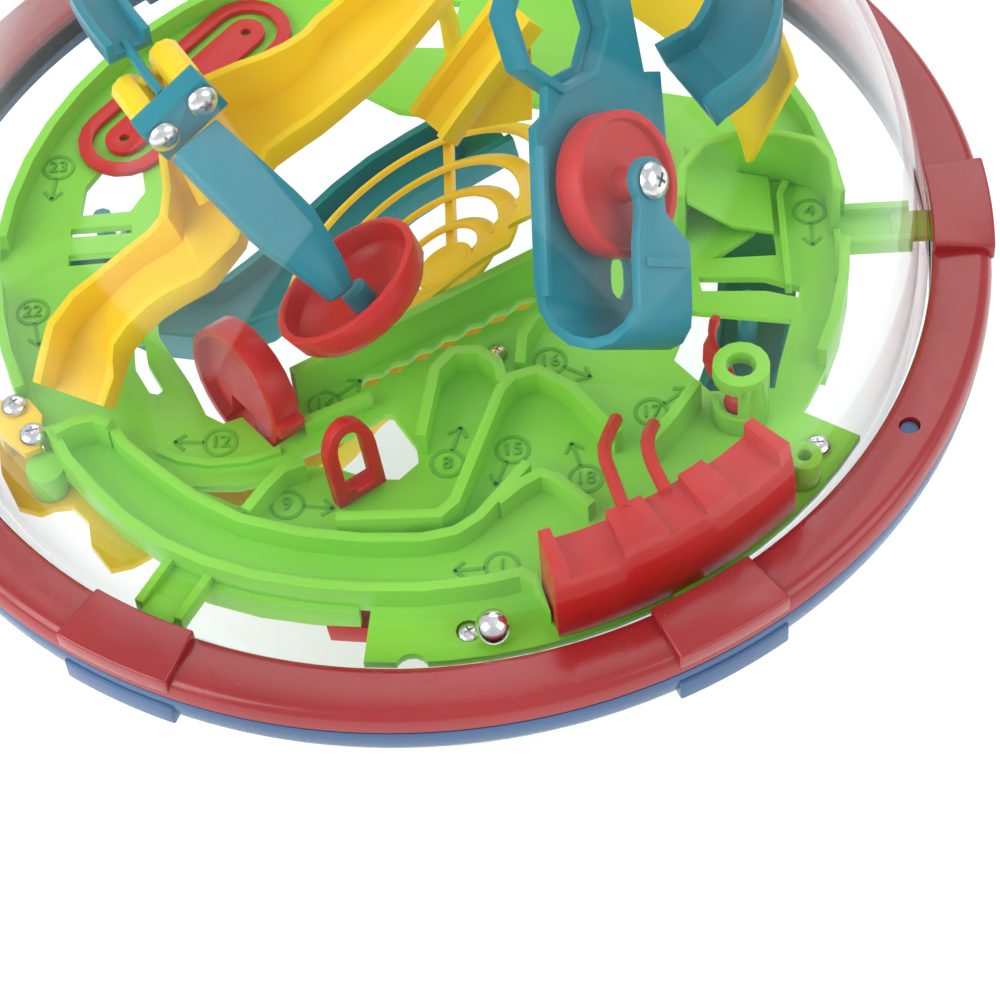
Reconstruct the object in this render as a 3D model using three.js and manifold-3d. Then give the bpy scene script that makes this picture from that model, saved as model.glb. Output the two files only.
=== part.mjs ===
// Maze ball puzzle: two clear half spheres held by a two-part rim, with a coloured
// ball track inside. Millimetres, +Z up. The origin is the centre of the sphere, z = 0
// is the plane where the two rims meet, and +X runs through one of the six grip blocks.
import * as THREE from 'three';
import { mergeVertices } from 'three/addons/utils/BufferGeometryUtils.js';
import Module from 'manifold-3d';

const wasm = await Module();
wasm.setup();

// Driving dimensions of the shell.
const DOME_RADIUS = 89;
const DOME_WALL = 1.6;
const DOME_LIP_RADIUS = 91.2;
const DOME_LIP_THICKNESS = 1.5;
const RIM_RADIUS = 100;
const RIM_INNER_RADIUS = 89.4;
const RIM_TOP = 4.4;
const RIM_BOTTOM = -6;
const PART_GAP = 0.15;
const BLOCK_COUNT = 6;
const BLOCK_DEGREES = 12;
const BLOCK_HEIGHT = 1.3;
const PEG_RADIUS = 1.5;
const PEG_HOLE_RADIUS = 1.8;
const PEG_CIRCLE_RADIUS = 93.9;
const PEG_ANGLES = [-30, 90, 210];

// Driving dimensions of the maze.
const PLATE_RADIUS = 75.5;
const PLATE_FLOOR = 1.6;
const PAN_RADIUS = 86.4;
const PAN_FROM = -96.5;
const PAN_TO = -31.8;
const ARM_WIDTH = 9;
const TAB_WIDTH = 6;
const TAB_THICKNESS = 1.4;
const WALL_WIDTH = 1.8;
const WALL_HEIGHT = 4.5;
const SKIRT_DEPTH = 5;
const BALL_RADIUS = 3;
const SHELL_CLEAR_RADIUS = 86.4;

// Colours of the moulded plastics and metals.
const RED = 0xc9302c;
const RIM_RED = 0xb02a2e;
const RIM_BLUE = 0x46648c;
const GREEN = 0x74cc4c;
const YELLOW = 0xf5cc29;
const TEAL = 0x298ca6;
const CLEAR = 0xeef4f6;
const STEEL = 0xc8c8c8;
const BRASS = 0xc9a24a;

const root = new THREE.Group();

// ---------------------------------------------------------------- geometry tools

function radians(degrees) {
  return (degrees * Math.PI) / 180;
}

function polar(radius, degrees) {
  return [radius * Math.cos(radians(degrees)), radius * Math.sin(radians(degrees))];
}

function arc(radius, from, to, steps) {
  const points = [];
  for (let i = 0; i <= steps; i += 1) {
    points.push(polar(radius, from + ((to - from) * i) / steps));
  }
  return points;
}

function shapeOf(points) {
  return new THREE.Shape(points.map(([x, y]) => new THREE.Vector2(x, y)));
}

// A flat outline raised from z = low to z = high.
function prism(points, low, high) {
  const settings = { depth: high - low, bevelEnabled: false };
  return new THREE.ExtrudeGeometry(shapeOf(points), settings).translate(0, 0, low);
}

// The outline of a wall of even width that follows a line of points, with mitred corners.
function ribbon(points, width) {
  const left = [];
  const right = [];
  points.forEach(([x, y], i) => {
    const before = points[Math.max(i - 1, 0)];
    const after = points[Math.min(i + 1, points.length - 1)];
    const arriving = new THREE.Vector2(x - before[0], y - before[1]).normalize();
    const leaving = new THREE.Vector2(after[0] - x, after[1] - y).normalize();
    const along = arriving.clone().add(leaving).normalize();
    const bend = Math.max(Math.abs(along.dot(i === 0 ? leaving : arriving)), 0.35);
    const reach = width / 2 / bend;
    left.push([x - along.y * reach, y + along.x * reach]);
    right.push([x + along.y * reach, y - along.x * reach]);
  });
  return left.concat(right.reverse());
}

// A closed surface through a row of frames, each with its own section in side and up units.
function loft(frames) {
  const count = frames[0].section.length;
  const positions = [];
  frames.forEach(({ at, side, up, section }) => {
    section.forEach(([s, u]) => {
      const p = at.clone().addScaledVector(side, s).addScaledVector(up, u);
      positions.push(p.x, p.y, p.z);
    });
  });
  const faces = [];
  for (let i = 0; i < frames.length - 1; i += 1) {
    for (let j = 0; j < count; j += 1) {
      const a = i * count + j;
      const b = i * count + ((j + 1) % count);
      faces.push(a, b, b + count, a, b + count, a + count);
    }
  }
  const capOf = (section) => THREE.ShapeUtils.triangulateShape(
    section.map(([s, u]) => new THREE.Vector2(s, u)),
    [],
  );
  const last = (frames.length - 1) * count;
  capOf(frames[0].section).forEach(([a, b, c]) => faces.push(a, c, b));
  capOf(frames[frames.length - 1].section).forEach(([a, b, c]) => {
    faces.push(last + a, last + b, last + c);
  });
  const geometry = new THREE.BufferGeometry();
  geometry.setAttribute('position', new THREE.Float32BufferAttribute(positions, 3));
  geometry.setIndex(faces);
  return facingOut(geometry);
}

function volumeOf(geometry) {
  const p = geometry.attributes.position;
  const index = geometry.index.array;
  const [a, b, c] = [new THREE.Vector3(), new THREE.Vector3(), new THREE.Vector3()];
  let volume = 0;
  for (let i = 0; i < index.length; i += 3) {
    a.fromBufferAttribute(p, index[i]);
    b.fromBufferAttribute(p, index[i + 1]);
    c.fromBufferAttribute(p, index[i + 2]);
    volume += a.dot(b.clone().cross(c)) / 6;
  }
  return volume;
}

function facingOut(geometry) {
  if (volumeOf(geometry) < 0) {
    const index = geometry.index.array;
    for (let i = 0; i < index.length; i += 3) {
      [index[i + 1], index[i + 2]] = [index[i + 2], index[i + 1]];
    }
  }
  return geometry;
}

// Frames along a smooth line through points. The section is a function of 0..1 along it.
function framesAlong(points, steps, sectionAt, upHint = new THREE.Vector3(0, 0, 1)) {
  const curve = new THREE.CatmullRomCurve3(points.map((p) => new THREE.Vector3(...p)));
  const frames = [];
  for (let i = 0; i <= steps; i += 1) {
    const share = i / steps;
    const at = curve.getPointAt(share);
    const along = curve.getTangentAt(share);
    const side = along.clone().cross(upHint).normalize();
    const up = side.clone().cross(along).normalize();
    frames.push({ at, side, up, section: sectionAt(share) });
  }
  return frames;
}

// An open gutter: floor top at u = 0, walls rising to the two given heights.
function gutter(width, leftHeight, rightHeight, wall) {
  const half = width / 2;
  return [
    [-half - wall, -wall],
    [half + wall, -wall],
    [half + wall, rightHeight],
    [half, rightHeight],
    [half, 0],
    [-half, 0],
    [-half, leftHeight],
    [-half - wall, leftHeight],
  ];
}

function circle(radius, steps, centre = [0, 0]) {
  const points = [];
  for (let i = 0; i < steps; i += 1) {
    const [x, y] = polar(radius, (360 * i) / steps);
    points.push([centre[0] + x, centre[1] + y]);
  }
  return points;
}

function solid(geometry) {
  const bare = geometry.clone();
  bare.deleteAttribute('normal');
  bare.deleteAttribute('uv');
  const merged = mergeVertices(bare, 1e-4);
  return new wasm.Manifold(new wasm.Mesh({
    numProp: 3,
    vertProperties: new Float32Array(merged.attributes.position.array),
    triVerts: new Uint32Array(merged.index.array),
  }));
}

function joined(geometries) {
  return geometries.map(solid).reduce((whole, next) => whole.add(next));
}

function cut(whole, geometries) {
  return geometries.map(solid).reduce((rest, next) => rest.subtract(next), whole);
}

function geometryOf(manifold) {
  const mesh = manifold.getMesh();
  const geometry = new THREE.BufferGeometry();
  geometry.setAttribute('position', new THREE.BufferAttribute(new Float32Array(mesh.vertProperties), 3));
  geometry.setIndex(new THREE.BufferAttribute(new Uint32Array(mesh.triVerts), 1));
  geometry.computeVertexNormals();
  return geometry;
}

// A frame in space: Z along the given axis, Y as near as it can be to the given direction.
function placement(origin, zAxis, yHint) {
  const z = new THREE.Vector3(...zAxis).normalize();
  const x = new THREE.Vector3(...yHint).cross(z).normalize();
  const y = z.clone().cross(x);
  return new THREE.Matrix4().makeBasis(x, y, z).setPosition(...origin);
}

function node(name, geometry, color, roughness = 0.4, metalness = 0) {
  const material = new THREE.MeshStandardMaterial({ color, roughness, metalness });
  const mesh = new THREE.Mesh(geometry, material);
  mesh.name = name;
  root.add(mesh);
  return mesh;
}

// ---------------------------------------------------------------- rim and domes

function rimRing(profile) {
  const points = profile.map(([r, z]) => new THREE.Vector2(r, z));
  points.push(points[0].clone());
  return new THREE.LatheGeometry(points, 50).rotateX(Math.PI / 2);
}

function gripBlocks(low, high) {
  const blocks = [];
  for (let i = 0; i < BLOCK_COUNT; i += 1) {
    const middle = (360 / BLOCK_COUNT) * i;
    const from = middle - BLOCK_DEGREES / 2;
    const to = middle + BLOCK_DEGREES / 2;
    const outer = arc(RIM_RADIUS + 0.3, from, to, 2);
    const inner = arc(RIM_INNER_RADIUS + 0.2, to, from, 2);
    blocks.push(prism(outer.concat(inner), low, high));
  }
  return blocks;
}

function upperRim() {
  const profile = [
    [RIM_INNER_RADIUS, 1.95], [91.6, 1.95], [91.6, PART_GAP], [99.7, PART_GAP], [RIM_RADIUS, 0.6],
    [99.6, 3.0], [98.8, 4.1], [97.6, RIM_TOP], [90.2, 3.6], [RIM_INNER_RADIUS, 3.1],
  ];
  const ring = rimRing(profile);
  const body = joined([facing(ring), ...gripBlocks(2.1, RIM_TOP + BLOCK_HEIGHT)]);
  const holes = PEG_ANGLES.map((a) => prism(circle(PEG_HOLE_RADIUS, 16, polar(PEG_CIRCLE_RADIUS, a)), -1, 6));
  return geometryOf(cut(body, holes));
}

function lowerRim() {
  const profile = [
    [RIM_INNER_RADIUS, -4.5], [90.3, -5.1], [98.0, RIM_BOTTOM], [98.9, -5.5], [99.5, -4.2],
    [99.9, -0.6], [99.6, -PART_GAP], [91.6, -PART_GAP], [91.6, -1.95], [RIM_INNER_RADIUS, -1.95],
  ];
  const ring = rimRing(profile);
  const pegs = PEG_ANGLES.map((a) => prism(circle(PEG_RADIUS, 16, polar(PEG_CIRCLE_RADIUS, a)), -2, 3.1));
  return geometryOf(joined([facing(ring), ...gripBlocks(RIM_BOTTOM - 0.9, -2.1), ...pegs]));
}

// Turned shapes come out with either winding, so each is made to face out.
function facing(geometry) {
  const bare = geometry.clone();
  bare.deleteAttribute('normal');
  bare.deleteAttribute('uv');
  return facingOut(mergeVertices(bare, 1e-4));
}

function dome(sign) {
  const steps = 7;
  const inner = DOME_RADIUS - DOME_WALL;
  const lowest = Math.asin(DOME_LIP_THICKNESS / DOME_RADIUS) + 0.003;
  const points = [];
  for (let i = 0; i <= steps; i += 1) {
    const angle = Math.PI / 2 + ((lowest - Math.PI / 2) * i) / steps;
    points.push(new THREE.Vector2(Math.max(DOME_RADIUS * Math.cos(angle), 0), DOME_RADIUS * Math.sin(angle)));
  }
  points[0].x = 0;
  points.push(new THREE.Vector2(DOME_LIP_RADIUS, DOME_LIP_THICKNESS + PART_GAP));
  points.push(new THREE.Vector2(DOME_LIP_RADIUS, PART_GAP));
  const start = Math.asin(PART_GAP / inner);
  for (let i = 0; i <= steps; i += 1) {
    const angle = start + ((Math.PI / 2 - start) * i) / steps;
    points.push(new THREE.Vector2(Math.max(inner * Math.cos(angle), 0), inner * Math.sin(angle)));
  }
  points[points.length - 1].x = 0;
  const turned = new THREE.LatheGeometry(points, 36).rotateX((sign * Math.PI) / 2);
  const notches = armAngles().map((angle) => {
    const box = new THREE.BoxGeometry(6, TAB_WIDTH + 0.8, TAB_THICKNESS + 0.8);
    return box.translate(89, 0, 0).rotateZ(radians(angle));
  });
  return geometryOf(cut(solid(facing(turned)), notches));
}

function armAngles() {
  return Array.from({ length: BLOCK_COUNT }, (_, i) => (360 / BLOCK_COUNT) * i);
}

// ---------------------------------------------------------------- maze plate

// A slot whose two long edges swell in and out, running between two points.
function scallopedSlot(start, end, swells, narrow, wide) {
  const along = new THREE.Vector2(end[0] - start[0], end[1] - start[1]);
  const across = new THREE.Vector2(-along.y, along.x).normalize();
  const steps = swells * 4;
  const upper = [];
  const lower = [];
  for (let i = 0; i <= steps; i += 1) {
    const share = i / steps;
    const swell = 0.5 - 0.5 * Math.cos(share * swells * 2 * Math.PI);
    const half = (narrow + (wide - narrow) * swell) / 2;
    const x = start[0] + along.x * share;
    const y = start[1] + along.y * share;
    upper.push([x + across.x * half, y + across.y * half]);
    lower.push([x - across.x * half, y - across.y * half]);
  }
  return upper.concat(lower.reverse());
}

const PLATE_WINDOWS = [
  // the large centre opening
  [[-47, -8], [-46, -16], [-40, -27], [-37, -34], [-34, -36], [-26, -33], [-20, -29.8], [20, -6],
    [29, -3], [40, 4], [44, 12], [42, 22], [34, 31], [20, 35], [5, 33], [-4, 35], [-12, 41],
    [-26, 41], [-38, 31], [-44, 20], [-46, 8]],
  // left side: pocket, ladder slots and finger slit
  [[-61.5, 13], [-52.5, 13.5], [-50, 18], [-51, 24.5], [-58, 25], [-61, 20]],
  [[-63, 8], [-52, 8.3], [-52, 10.3], [-63, 10]],
  [[-63, 1.2], [-50, 1.8], [-50, 4.2], [-63, 3.8]],
  [[-50.5, -17], [-48.5, -16.5], [-47.6, -22], [-44.6, -28], [-45.5, -29], [-47, -28.5], [-49.8, -23]],
  // below the drum gate and around the hoop gate
  [[-39, -49], [-31, -49.5], [-25.8, -48.2], [-29, -53], [-31, -53.6]],
  [[-22, -44], [-12, -39.5], [-6.5, -35.5], [-5, -36], [-1, -43], [-0.7, -46.5], [-4, -49.8],
    [-9, -49.3], [-15, -46.5], [-20, -46]],
  [[-8, -61], [6, -61], [4, -62.8], [-7, -62.6]],
  // right side: ladder openings and the opening beside the hooked post
  [[48.5, -9], [60, -9.8], [66, -12.5], [65.5, -14.8], [60, -13], [49, -12.3]],
  [[51, -5], [62.5, -5], [62.5, 4], [60.5, 4], [59, 1]],
  [[43, -27], [47, -16.5], [64, -19.5], [61, -30], [60, -34.5], [49, -34.5]],
  // far side
  [[-15, 52], [5, 50], [8, 62], [-12, 64]],
  [[36, 38], [50, 34], [56, 42], [44, 58], [36, 56]],
];

// Upright walls of the upper maze: the line each follows, and its height.
const PLATE_WALLS = [
  { line: [[-63, -38], [-59.5, -45], [-55, -51], [-49.5, -57.5], [-43, -63], [-35.5, -67.5],
    [-27, -70.8], [-18, -73], [-10, -74.2], [0, -74.8], [10, -74], [16, -72.8], [18.6, -74.4],
    [21.2, -80], [22.8, -83]], height: WALL_HEIGHT },
  { line: [[-53, -37.5], [-50, -42.5], [-45, -47.6], [-38, -54], [-30, -59.2], [-20, -62.6],
    [-10, -64.4], [0, -65], [5.5, -64], [9.5, -61.2], [17.6, -50.8]], height: WALL_HEIGHT },
  { line: [[-61.8, -40.4], [-58.6, -38.6], [-55.2, -37.9], [-52.4, -39.4]], height: 6.2 },
  { line: [[-29, -57.5], [-26, -53], [-23, -49.4], [-19.5, -48.3]], height: WALL_HEIGHT },
  { line: [[-14, -60.6], [3, -61], [5.6, -58.5], [13.5, -36], [15.6, -33.2], [20, -32],
    [25.5, -36], [30.6, -43.4], [33, -46.4]], height: 5.5 },
  { line: [[0, -44.8], [1.4, -37], [2.6, -30.6], [5.6, -27], [10, -27], [13.2, -30], [14, -34]],
    height: 5.5 },
  { line: [[12.6, -58.4], [16.4, -55], [19.8, -53], [22.4, -54.2], [28, -60]], height: WALL_HEIGHT },
  { line: [[38.4, -49], [42, -44.5], [46.6, -37.4]], height: 7 },
  { line: [[17, -29.6], [17.6, -23.4], [20, -19]], height: WALL_HEIGHT },
  { line: [[-21.5, -31.8], [20.5, -8]], height: 8 },
  { line: [[-8.6, -33.6], [-20, -38.6]], height: 3 },
];

// The line of the tall wall round the side tub.
const TUB_LINE = [
  [73, -1], [72.8, 6], [70, 10.6], [64, 12.8], [57, 13], [50.6, 11.4], [46.8, 6], [46, -1],
];

// The raised rim round the edge, in degrees from and to.
const EDGE_WALLS = [[62, 176], [184, 203], [4, 56], [-24, -4]];

function plateOutline() {
  const arms = armAngles().filter((angle) => angle !== 300).map((angle) => {
    const arm = new THREE.BoxGeometry(PAN_RADIUS - 70, ARM_WIDTH, PLATE_FLOOR);
    return arm.translate((PAN_RADIUS + 70) / 2, 0, -PLATE_FLOOR / 2).rotateZ(radians(angle));
  });
  const rails = armAngles().filter((angle) => angle !== 300).flatMap((angle) => [-1, 1].map((side) => {
    const rail = new THREE.BoxGeometry(PAN_RADIUS - 75, 1.4, 3.4);
    const y = side * (ARM_WIDTH / 2 - 0.7);
    return rail.translate((PAN_RADIUS + 75) / 2, y, -PLATE_FLOOR + 1.7).rotateZ(radians(angle));
  }));
  const tabs = armAngles().map((angle) => {
    const tab = new THREE.BoxGeometry(7, TAB_WIDTH, TAB_THICKNESS);
    return tab.translate(87.4, 0, 0).rotateZ(radians(angle));
  });
  const roots = armAngles().map((angle) => {
    const block = new THREE.BoxGeometry(3, TAB_WIDTH, 2.4);
    return block.translate(84.6, 0, -0.6).rotateZ(radians(angle));
  });
  const pan = arc(PAN_RADIUS, PAN_FROM, PAN_TO, 14).concat(arc(60, PAN_TO, PAN_FROM, 10));
  return [
    prism(circle(PLATE_RADIUS, 60), -PLATE_FLOOR, 0), prism(pan, -PLATE_FLOOR, 0),
    ...arms, ...rails, ...tabs, ...roots,
  ];
}

function edgeWalls() {
  return EDGE_WALLS.flatMap(([from, to]) => {
    const steps = Math.max(Math.round((to - from) / 7), 2);
    const line = arc(PLATE_RADIUS - WALL_WIDTH / 2, from, to, steps);
    return [prism(ribbon(line, WALL_WIDTH), -SKIRT_DEPTH, WALL_HEIGHT)];
  });
}

function sidePanelRim() {
  const line = [[64, -13], [64, 8], [66, 12.5], [70, 12], [73, 6], [73.4, -4], [72.6, -12]];
  return prism(ribbon(line, 1.2), -1, 1.6);
}

function undersideWalls() {
  const lines = [
    [[-66, -12], [-60, -34], [-48, -50], [-30, -62]],
    [[-20, -66], [6, -69], [26, -64], [42, -56]],
    [[22, -34], [36, -44], [48, -46]],
    [[-56, 30], [-44, 46], [-26, 58]],
    [[54, 22], [62, 10], [66, -6]],
    [[10, 44], [26, 42], [34, 60]],
  ];
  return lines.map((line) => prism(ribbon(line, WALL_WIDTH), -PLATE_FLOOR - 4, -0.5));
}

// Room in the plate for the pieces that pass through it or stand against its walls.
function plateClearances() {
  const tub = prism(ribbon(TUB_LINE, 2.4), 0, 14);
  const screws = ['pan_screw', 'boss_screw', 'brass_screw', 'bracket_screw_2', 'bracket_screw_3'];
  const block = prism(arc(90, BLOCK_FROM - 0.3, BLOCK_TO + 0.3, 8).concat(arc(76, BLOCK_TO + 0.3, BLOCK_FROM - 0.3, 6)), 0.7, 9);
  return [tub, block, drumEnvelope(0.4), ...screws.map((name) => screwShape(SCREWS[name], 0.3))];
}

function mazePlate() {
  const floor = cut(joined(plateOutline()), [
    ...PLATE_WINDOWS.map((window) => prism(window, -4, 4)),
    prism(scallopedSlot([-11, -29.4], [20, -11.8], 7, 0.9, 2.6), -4, 4),
    prism(circle(2.8, 14, [-2, -87.4]), -4, 4),
  ]);
  const walls = PLATE_WALLS.map(({ line, height }) => prism(ribbon(line, WALL_WIDTH), -1, height));
  const lip = prism(
    ribbon([[-45, -41.4], [-41, -43.6], [-36, -44.8], [-30, -44.6], [-24, -42.8]], 1.4),
    -SKIRT_DEPTH,
    1,
  );
  const skirt = prism(
    ribbon([[-43, -64.6], [-35.5, -69], [-27, -72.2], [-18, -74.2], [-10.6, -75]], 1.4),
    -SKIRT_DEPTH,
    0,
  );
  const boss = prism(circle(3.3, 16, [-64, -43.8]), -5.2, 0.6);
  const raised = joined([...walls, ...edgeWalls(), sidePanelRim(), lip, skirt, boss, ...undersideWalls()]);
  return geometryOf(cut(floor.add(raised), plateClearances()));
}

// ---------------------------------------------------------------- screws

// Every screw: where the underside of its head sits, the way it points out, and its sizes.
const SCREWS = {
  pan_screw: { at: [7.2, -80.8, -1.1], axis: [0, 0, 1], head: 2.2, shank: 1.1, length: 5 },
  boss_screw: { at: [66.1, -47.6, 0.3], axis: [0, 0, 1], head: 2.3, shank: 1.1, length: 5 },
  brass_screw: { at: [13, -24, 0.3], axis: [0, 0, 1], head: 1.8, shank: 0.8, length: 4 },
  bracket_screw_1: { at: [-69.6, -32.2, 2.9], axis: [0, 0, 1], head: 2.3, shank: 1.1, length: 5 },
  bracket_screw_2: { at: [-66.0, -38.6, 2.9], axis: [0, 0, 1], head: 2.4, shank: 1.1, length: 5 },
  bracket_screw_3: { at: [-64, -43.8, -7.3], axis: [0, 0, -1], head: 2.2, shank: 1.1, length: 4 },
};
const HEAD_RISE = 1.4;

function screwProfile(head, shank, length, grow) {
  return [
    [0, -length - grow], [shank + grow, -length - grow], [shank + grow, -grow], [head + grow, -grow],
    [head + grow, 0.7], [head * 0.7, HEAD_RISE + grow], [0, HEAD_RISE + grow],
  ].map(([r, z]) => new THREE.Vector2(r, z));
}

function screwShape({ at, axis, head, shank, length }, grow = 0) {
  const turned = new THREE.LatheGeometry(screwProfile(head, shank, length, grow), 12);
  const upright = facing(turned.rotateX(Math.PI / 2));
  const hint = Math.abs(axis[2]) > 0.9 ? [0, 1, 0] : [0, 0, 1];
  return upright.applyMatrix4(placement(at, axis, hint));
}

function addScrew(name, spec) {
  node(name, screwShape(spec), name.startsWith('brass') ? BRASS : STEEL, 0.25, 0.9);
}

// ---------------------------------------------------------------- red pieces on the plate

const BLOCK_FROM = -75.4;
const BLOCK_TO = -44.6;
const BLOCK_INNER_RADIUS = 76.6;
const BLOCK_TOP = 17.4;
const BLOCK_STEP = 2.2;

function radialBox(angle, middleRadius, length, width, low, high) {
  const box = new THREE.BoxGeometry(length, width, high - low);
  return box.translate(middleRadius, 0, (low + high) / 2).rotateZ(radians(angle));
}

function rod(points, radius, steps, sides = 8) {
  return loft(framesAlong(points, steps, () => circle(radius, sides)));
}

function startBlock() {
  const outline = arc(88, BLOCK_FROM, BLOCK_TO, 8).concat(arc(BLOCK_INNER_RADIUS, BLOCK_TO, BLOCK_FROM, 6));
  const shell = facing(new THREE.SphereGeometry(SHELL_CLEAR_RADIUS, 60, 40));
  const body = solid(prism(outline, 1, BLOCK_TOP)).intersect(solid(shell));
  const scoops = [-70.4, -59.4, -49.6].map((angle, i) => {
    const width = i === 1 ? 7.2 : 9.4;
    return radialBox(angle, 80, 24, width, BLOCK_TOP - BLOCK_STEP - (i === 1 ? 0 : 1), 24);
  });
  const pads = [-64.4, -54.6].map((angle) => radialBox(angle, 80, 24, 8, BLOCK_TOP - 0.7, 24));
  const prongs = [
    rod([[33.2, -70, 16], [31.2, -61, 14.6], [30.4, -55, 12.4], [32.7, -46.3, 9]], 1.2, 6),
    rod([[40, -66.6, 15.6], [37.8, -58.6, 14.4], [37.6, -53.4, 12.6], [38.8, -48.6, 10]], 1.2, 6),
  ];
  return geometryOf(cut(body, [...scoops, ...pads]).add(joined(prongs)));
}

const DRUM = { at: [-29.8, -30.8, 4], axis: [-0.77, -0.63, 0.1], radius: 11.8, width: 5 };

function drumFrame() {
  return placement(DRUM.at, DRUM.axis, [0, 0, 1]);
}

function drumEnvelope(grow) {
  const disc = prism(circle(DRUM.radius + grow, 24), -DRUM.width / 2 - grow, DRUM.width / 2 + grow);
  return disc.applyMatrix4(drumFrame());
}

function drumGate() {
  const { radius, width } = DRUM;
  const profile = [
    [0, -0.9], [radius - 1.8, -0.9], [radius - 1.4, -width / 2], [radius, -width / 2],
    [radius, width / 2], [radius - 1.4, width / 2], [radius - 1.8, 0.9], [0, 0.9],
  ].map(([r, z]) => new THREE.Vector2(r, z));
  const disc = facing(new THREE.LatheGeometry(profile, 24).rotateX(Math.PI / 2));
  const doorway = prism([[-3.2, -10.2], [3.2, -10.2], [3.2, -4.8], [-3.2, -4.8]], -6, 6);
  const boss = new THREE.BoxGeometry(1.6, 2.2, width).translate(radius + 0.5, 0, 0);
  const shape = cut(joined([disc, boss]), [doorway]);
  return geometryOf(shape).applyMatrix4(drumFrame());
}

const HOOP = { at: [-10.4, -52.6], toward: [0.82, 0.57], lean: 0.22, width: 9.4, height: 16.6, band: 2.2, depth: 2.4 };

function archOutline(halfWidth, low, high, steps) {
  const springing = high - halfWidth * 1.5;
  const points = [[-halfWidth, low], [halfWidth, low]];
  for (let i = 0; i <= steps; i += 1) {
    const angle = (Math.PI * i) / steps;
    points.push([halfWidth * Math.cos(angle), springing + (high - springing) * Math.sin(angle)]);
  }
  return points;
}

function hoopGate() {
  const { at, toward, lean, width, height, band, depth } = HOOP;
  const outside = prism(archOutline(width / 2, 0, height, 10), -depth / 2, depth / 2);
  const inside = prism(archOutline(width / 2 - band, 3, height - band, 8), -depth, depth);
  const tongue = new THREE.BoxGeometry(3.4, 7.5, 1.6).translate(0.4, 6, 1.6);
  const across = new THREE.Vector3(toward[0], toward[1], 0).normalize();
  const face = across.clone().cross(new THREE.Vector3(0, lean, 1)).normalize();
  const frame = new THREE.Matrix4().makeBasis(across, face.clone().cross(across), face);
  frame.setPosition(at[0], at[1], 0.9);
  return geometryOf(cut(joined([outside, tongue]), [inside])).applyMatrix4(frame);
}

function paddle() {
  const line = [[53.4, -38.4, 3.6], [51.4, -35, 4.2], [49.7, -32.6, 8.4], [50, -30.4, 14.6]];
  const blade = loft(framesAlong(line, 8, (share) => {
    const half = 0.9 + 1.3 * Math.sin(Math.PI * share);
    const turn = 1.9 * share;
    return [[-half, -0.6], [half, -0.6], [half, 0.6], [-half, 0.6]].map(([x, y]) => [
      x * Math.cos(turn) - y * Math.sin(turn),
      x * Math.sin(turn) + y * Math.cos(turn),
    ]);
  }));
  const knob = facing(new THREE.SphereGeometry(2.9, 14, 9)).translate(POST_AT[0], POST_AT[1], 3.5);
  return geometryOf(joined([knob, blade]));
}

const LOOP = { from: [-54.2, 30.2], to: [-32.6, 55.6], radius: 8.6, band: 2.6, tongue: 3.6 };

function stadium(from, to, radius, steps) {
  const heading = (Math.atan2(to[1] - from[1], to[0] - from[0]) * 180) / Math.PI;
  const far = arc(radius, heading - 90, heading + 90, steps).map(([x, y]) => [to[0] + x, to[1] + y]);
  const near = arc(radius, heading + 90, heading + 270, steps).map(([x, y]) => [from[0] + x, from[1] + y]);
  return far.concat(near);
}

function loopRail() {
  const { from, to, radius, band, tongue } = LOOP;
  const ring = cut(solid(prism(stadium(from, to, radius, 9), 0.3, 1.5)), [
    prism(stadium(from, to, radius - band, 9), -1, 4),
  ]);
  const island = cut(solid(prism(stadium(from, to, tongue, 7), 0.3, 1.5)), [
    prism(circle(1, 8, from), -1, 4),
    prism(circle(1, 8, to), -1, 4),
  ]);
  const middle = [(from[0] + to[0]) / 2, (from[1] + to[1]) / 2];
  const heading = Math.atan2(to[1] - from[1], to[0] - from[0]);
  const bridge = new THREE.BoxGeometry(2.4, radius * 2 - 1, 0.9).rotateZ(heading);
  bridge.translate(middle[0], middle[1], 0.8);
  return geometryOf(ring.add(island).add(solid(bridge)));
}

// ---------------------------------------------------------------- hooked plate and wheel

const WHEEL = { at: [34.8, -22.5, 40], axis: [0.73, -0.42, 0.54], up: [0, 0.81, 0.59], radius: 12 };
const WHEEL_HALF = 2.5;
const HOOK_BACK = -5.2;
const HOOK_FRONT = 6.4;
const HOOK_THICKNESS = 1.8;
const POCKET = { at: [-8, 26.5], outer: 12, inner: 10.6, hole: 9.2 };
const AXLE_RADIUS = 1.2;
const AXLE_HOLE = 1.5;

function wheelFrame() {
  return placement(WHEEL.at, WHEEL.axis, WHEEL.up);
}

function spinWheel() {
  const r = WHEEL.radius;
  const profile = [
    [AXLE_HOLE, -3.3], [3, -3.3], [3, -0.8], [r - 1.6, -0.8], [r - 1.4, -WHEEL_HALF], [r, -WHEEL_HALF],
    [r, WHEEL_HALF], [r - 1.4, WHEEL_HALF], [r - 1.6, 0.8], [3, 0.8], [2.6, 5.1], [AXLE_HOLE, 5.1],
  ].map(([x, z]) => new THREE.Vector2(x, z));
  profile.push(profile[0].clone());
  const turned = facing(new THREE.LatheGeometry(profile, 24).rotateX(Math.PI / 2));
  return turned.applyMatrix4(wheelFrame());
}

function wheelScrew() {
  const profile = [
    [0, -9.4], [AXLE_RADIUS, -9.4], [AXLE_RADIUS, 7.6], [3.2, 7.6], [3.2, 8.3], [2.4, 9.2], [0, 9.4],
  ].map(([x, z]) => new THREE.Vector2(x, z));
  return facing(new THREE.LatheGeometry(profile, 14).rotateX(Math.PI / 2)).applyMatrix4(wheelFrame());
}

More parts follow.
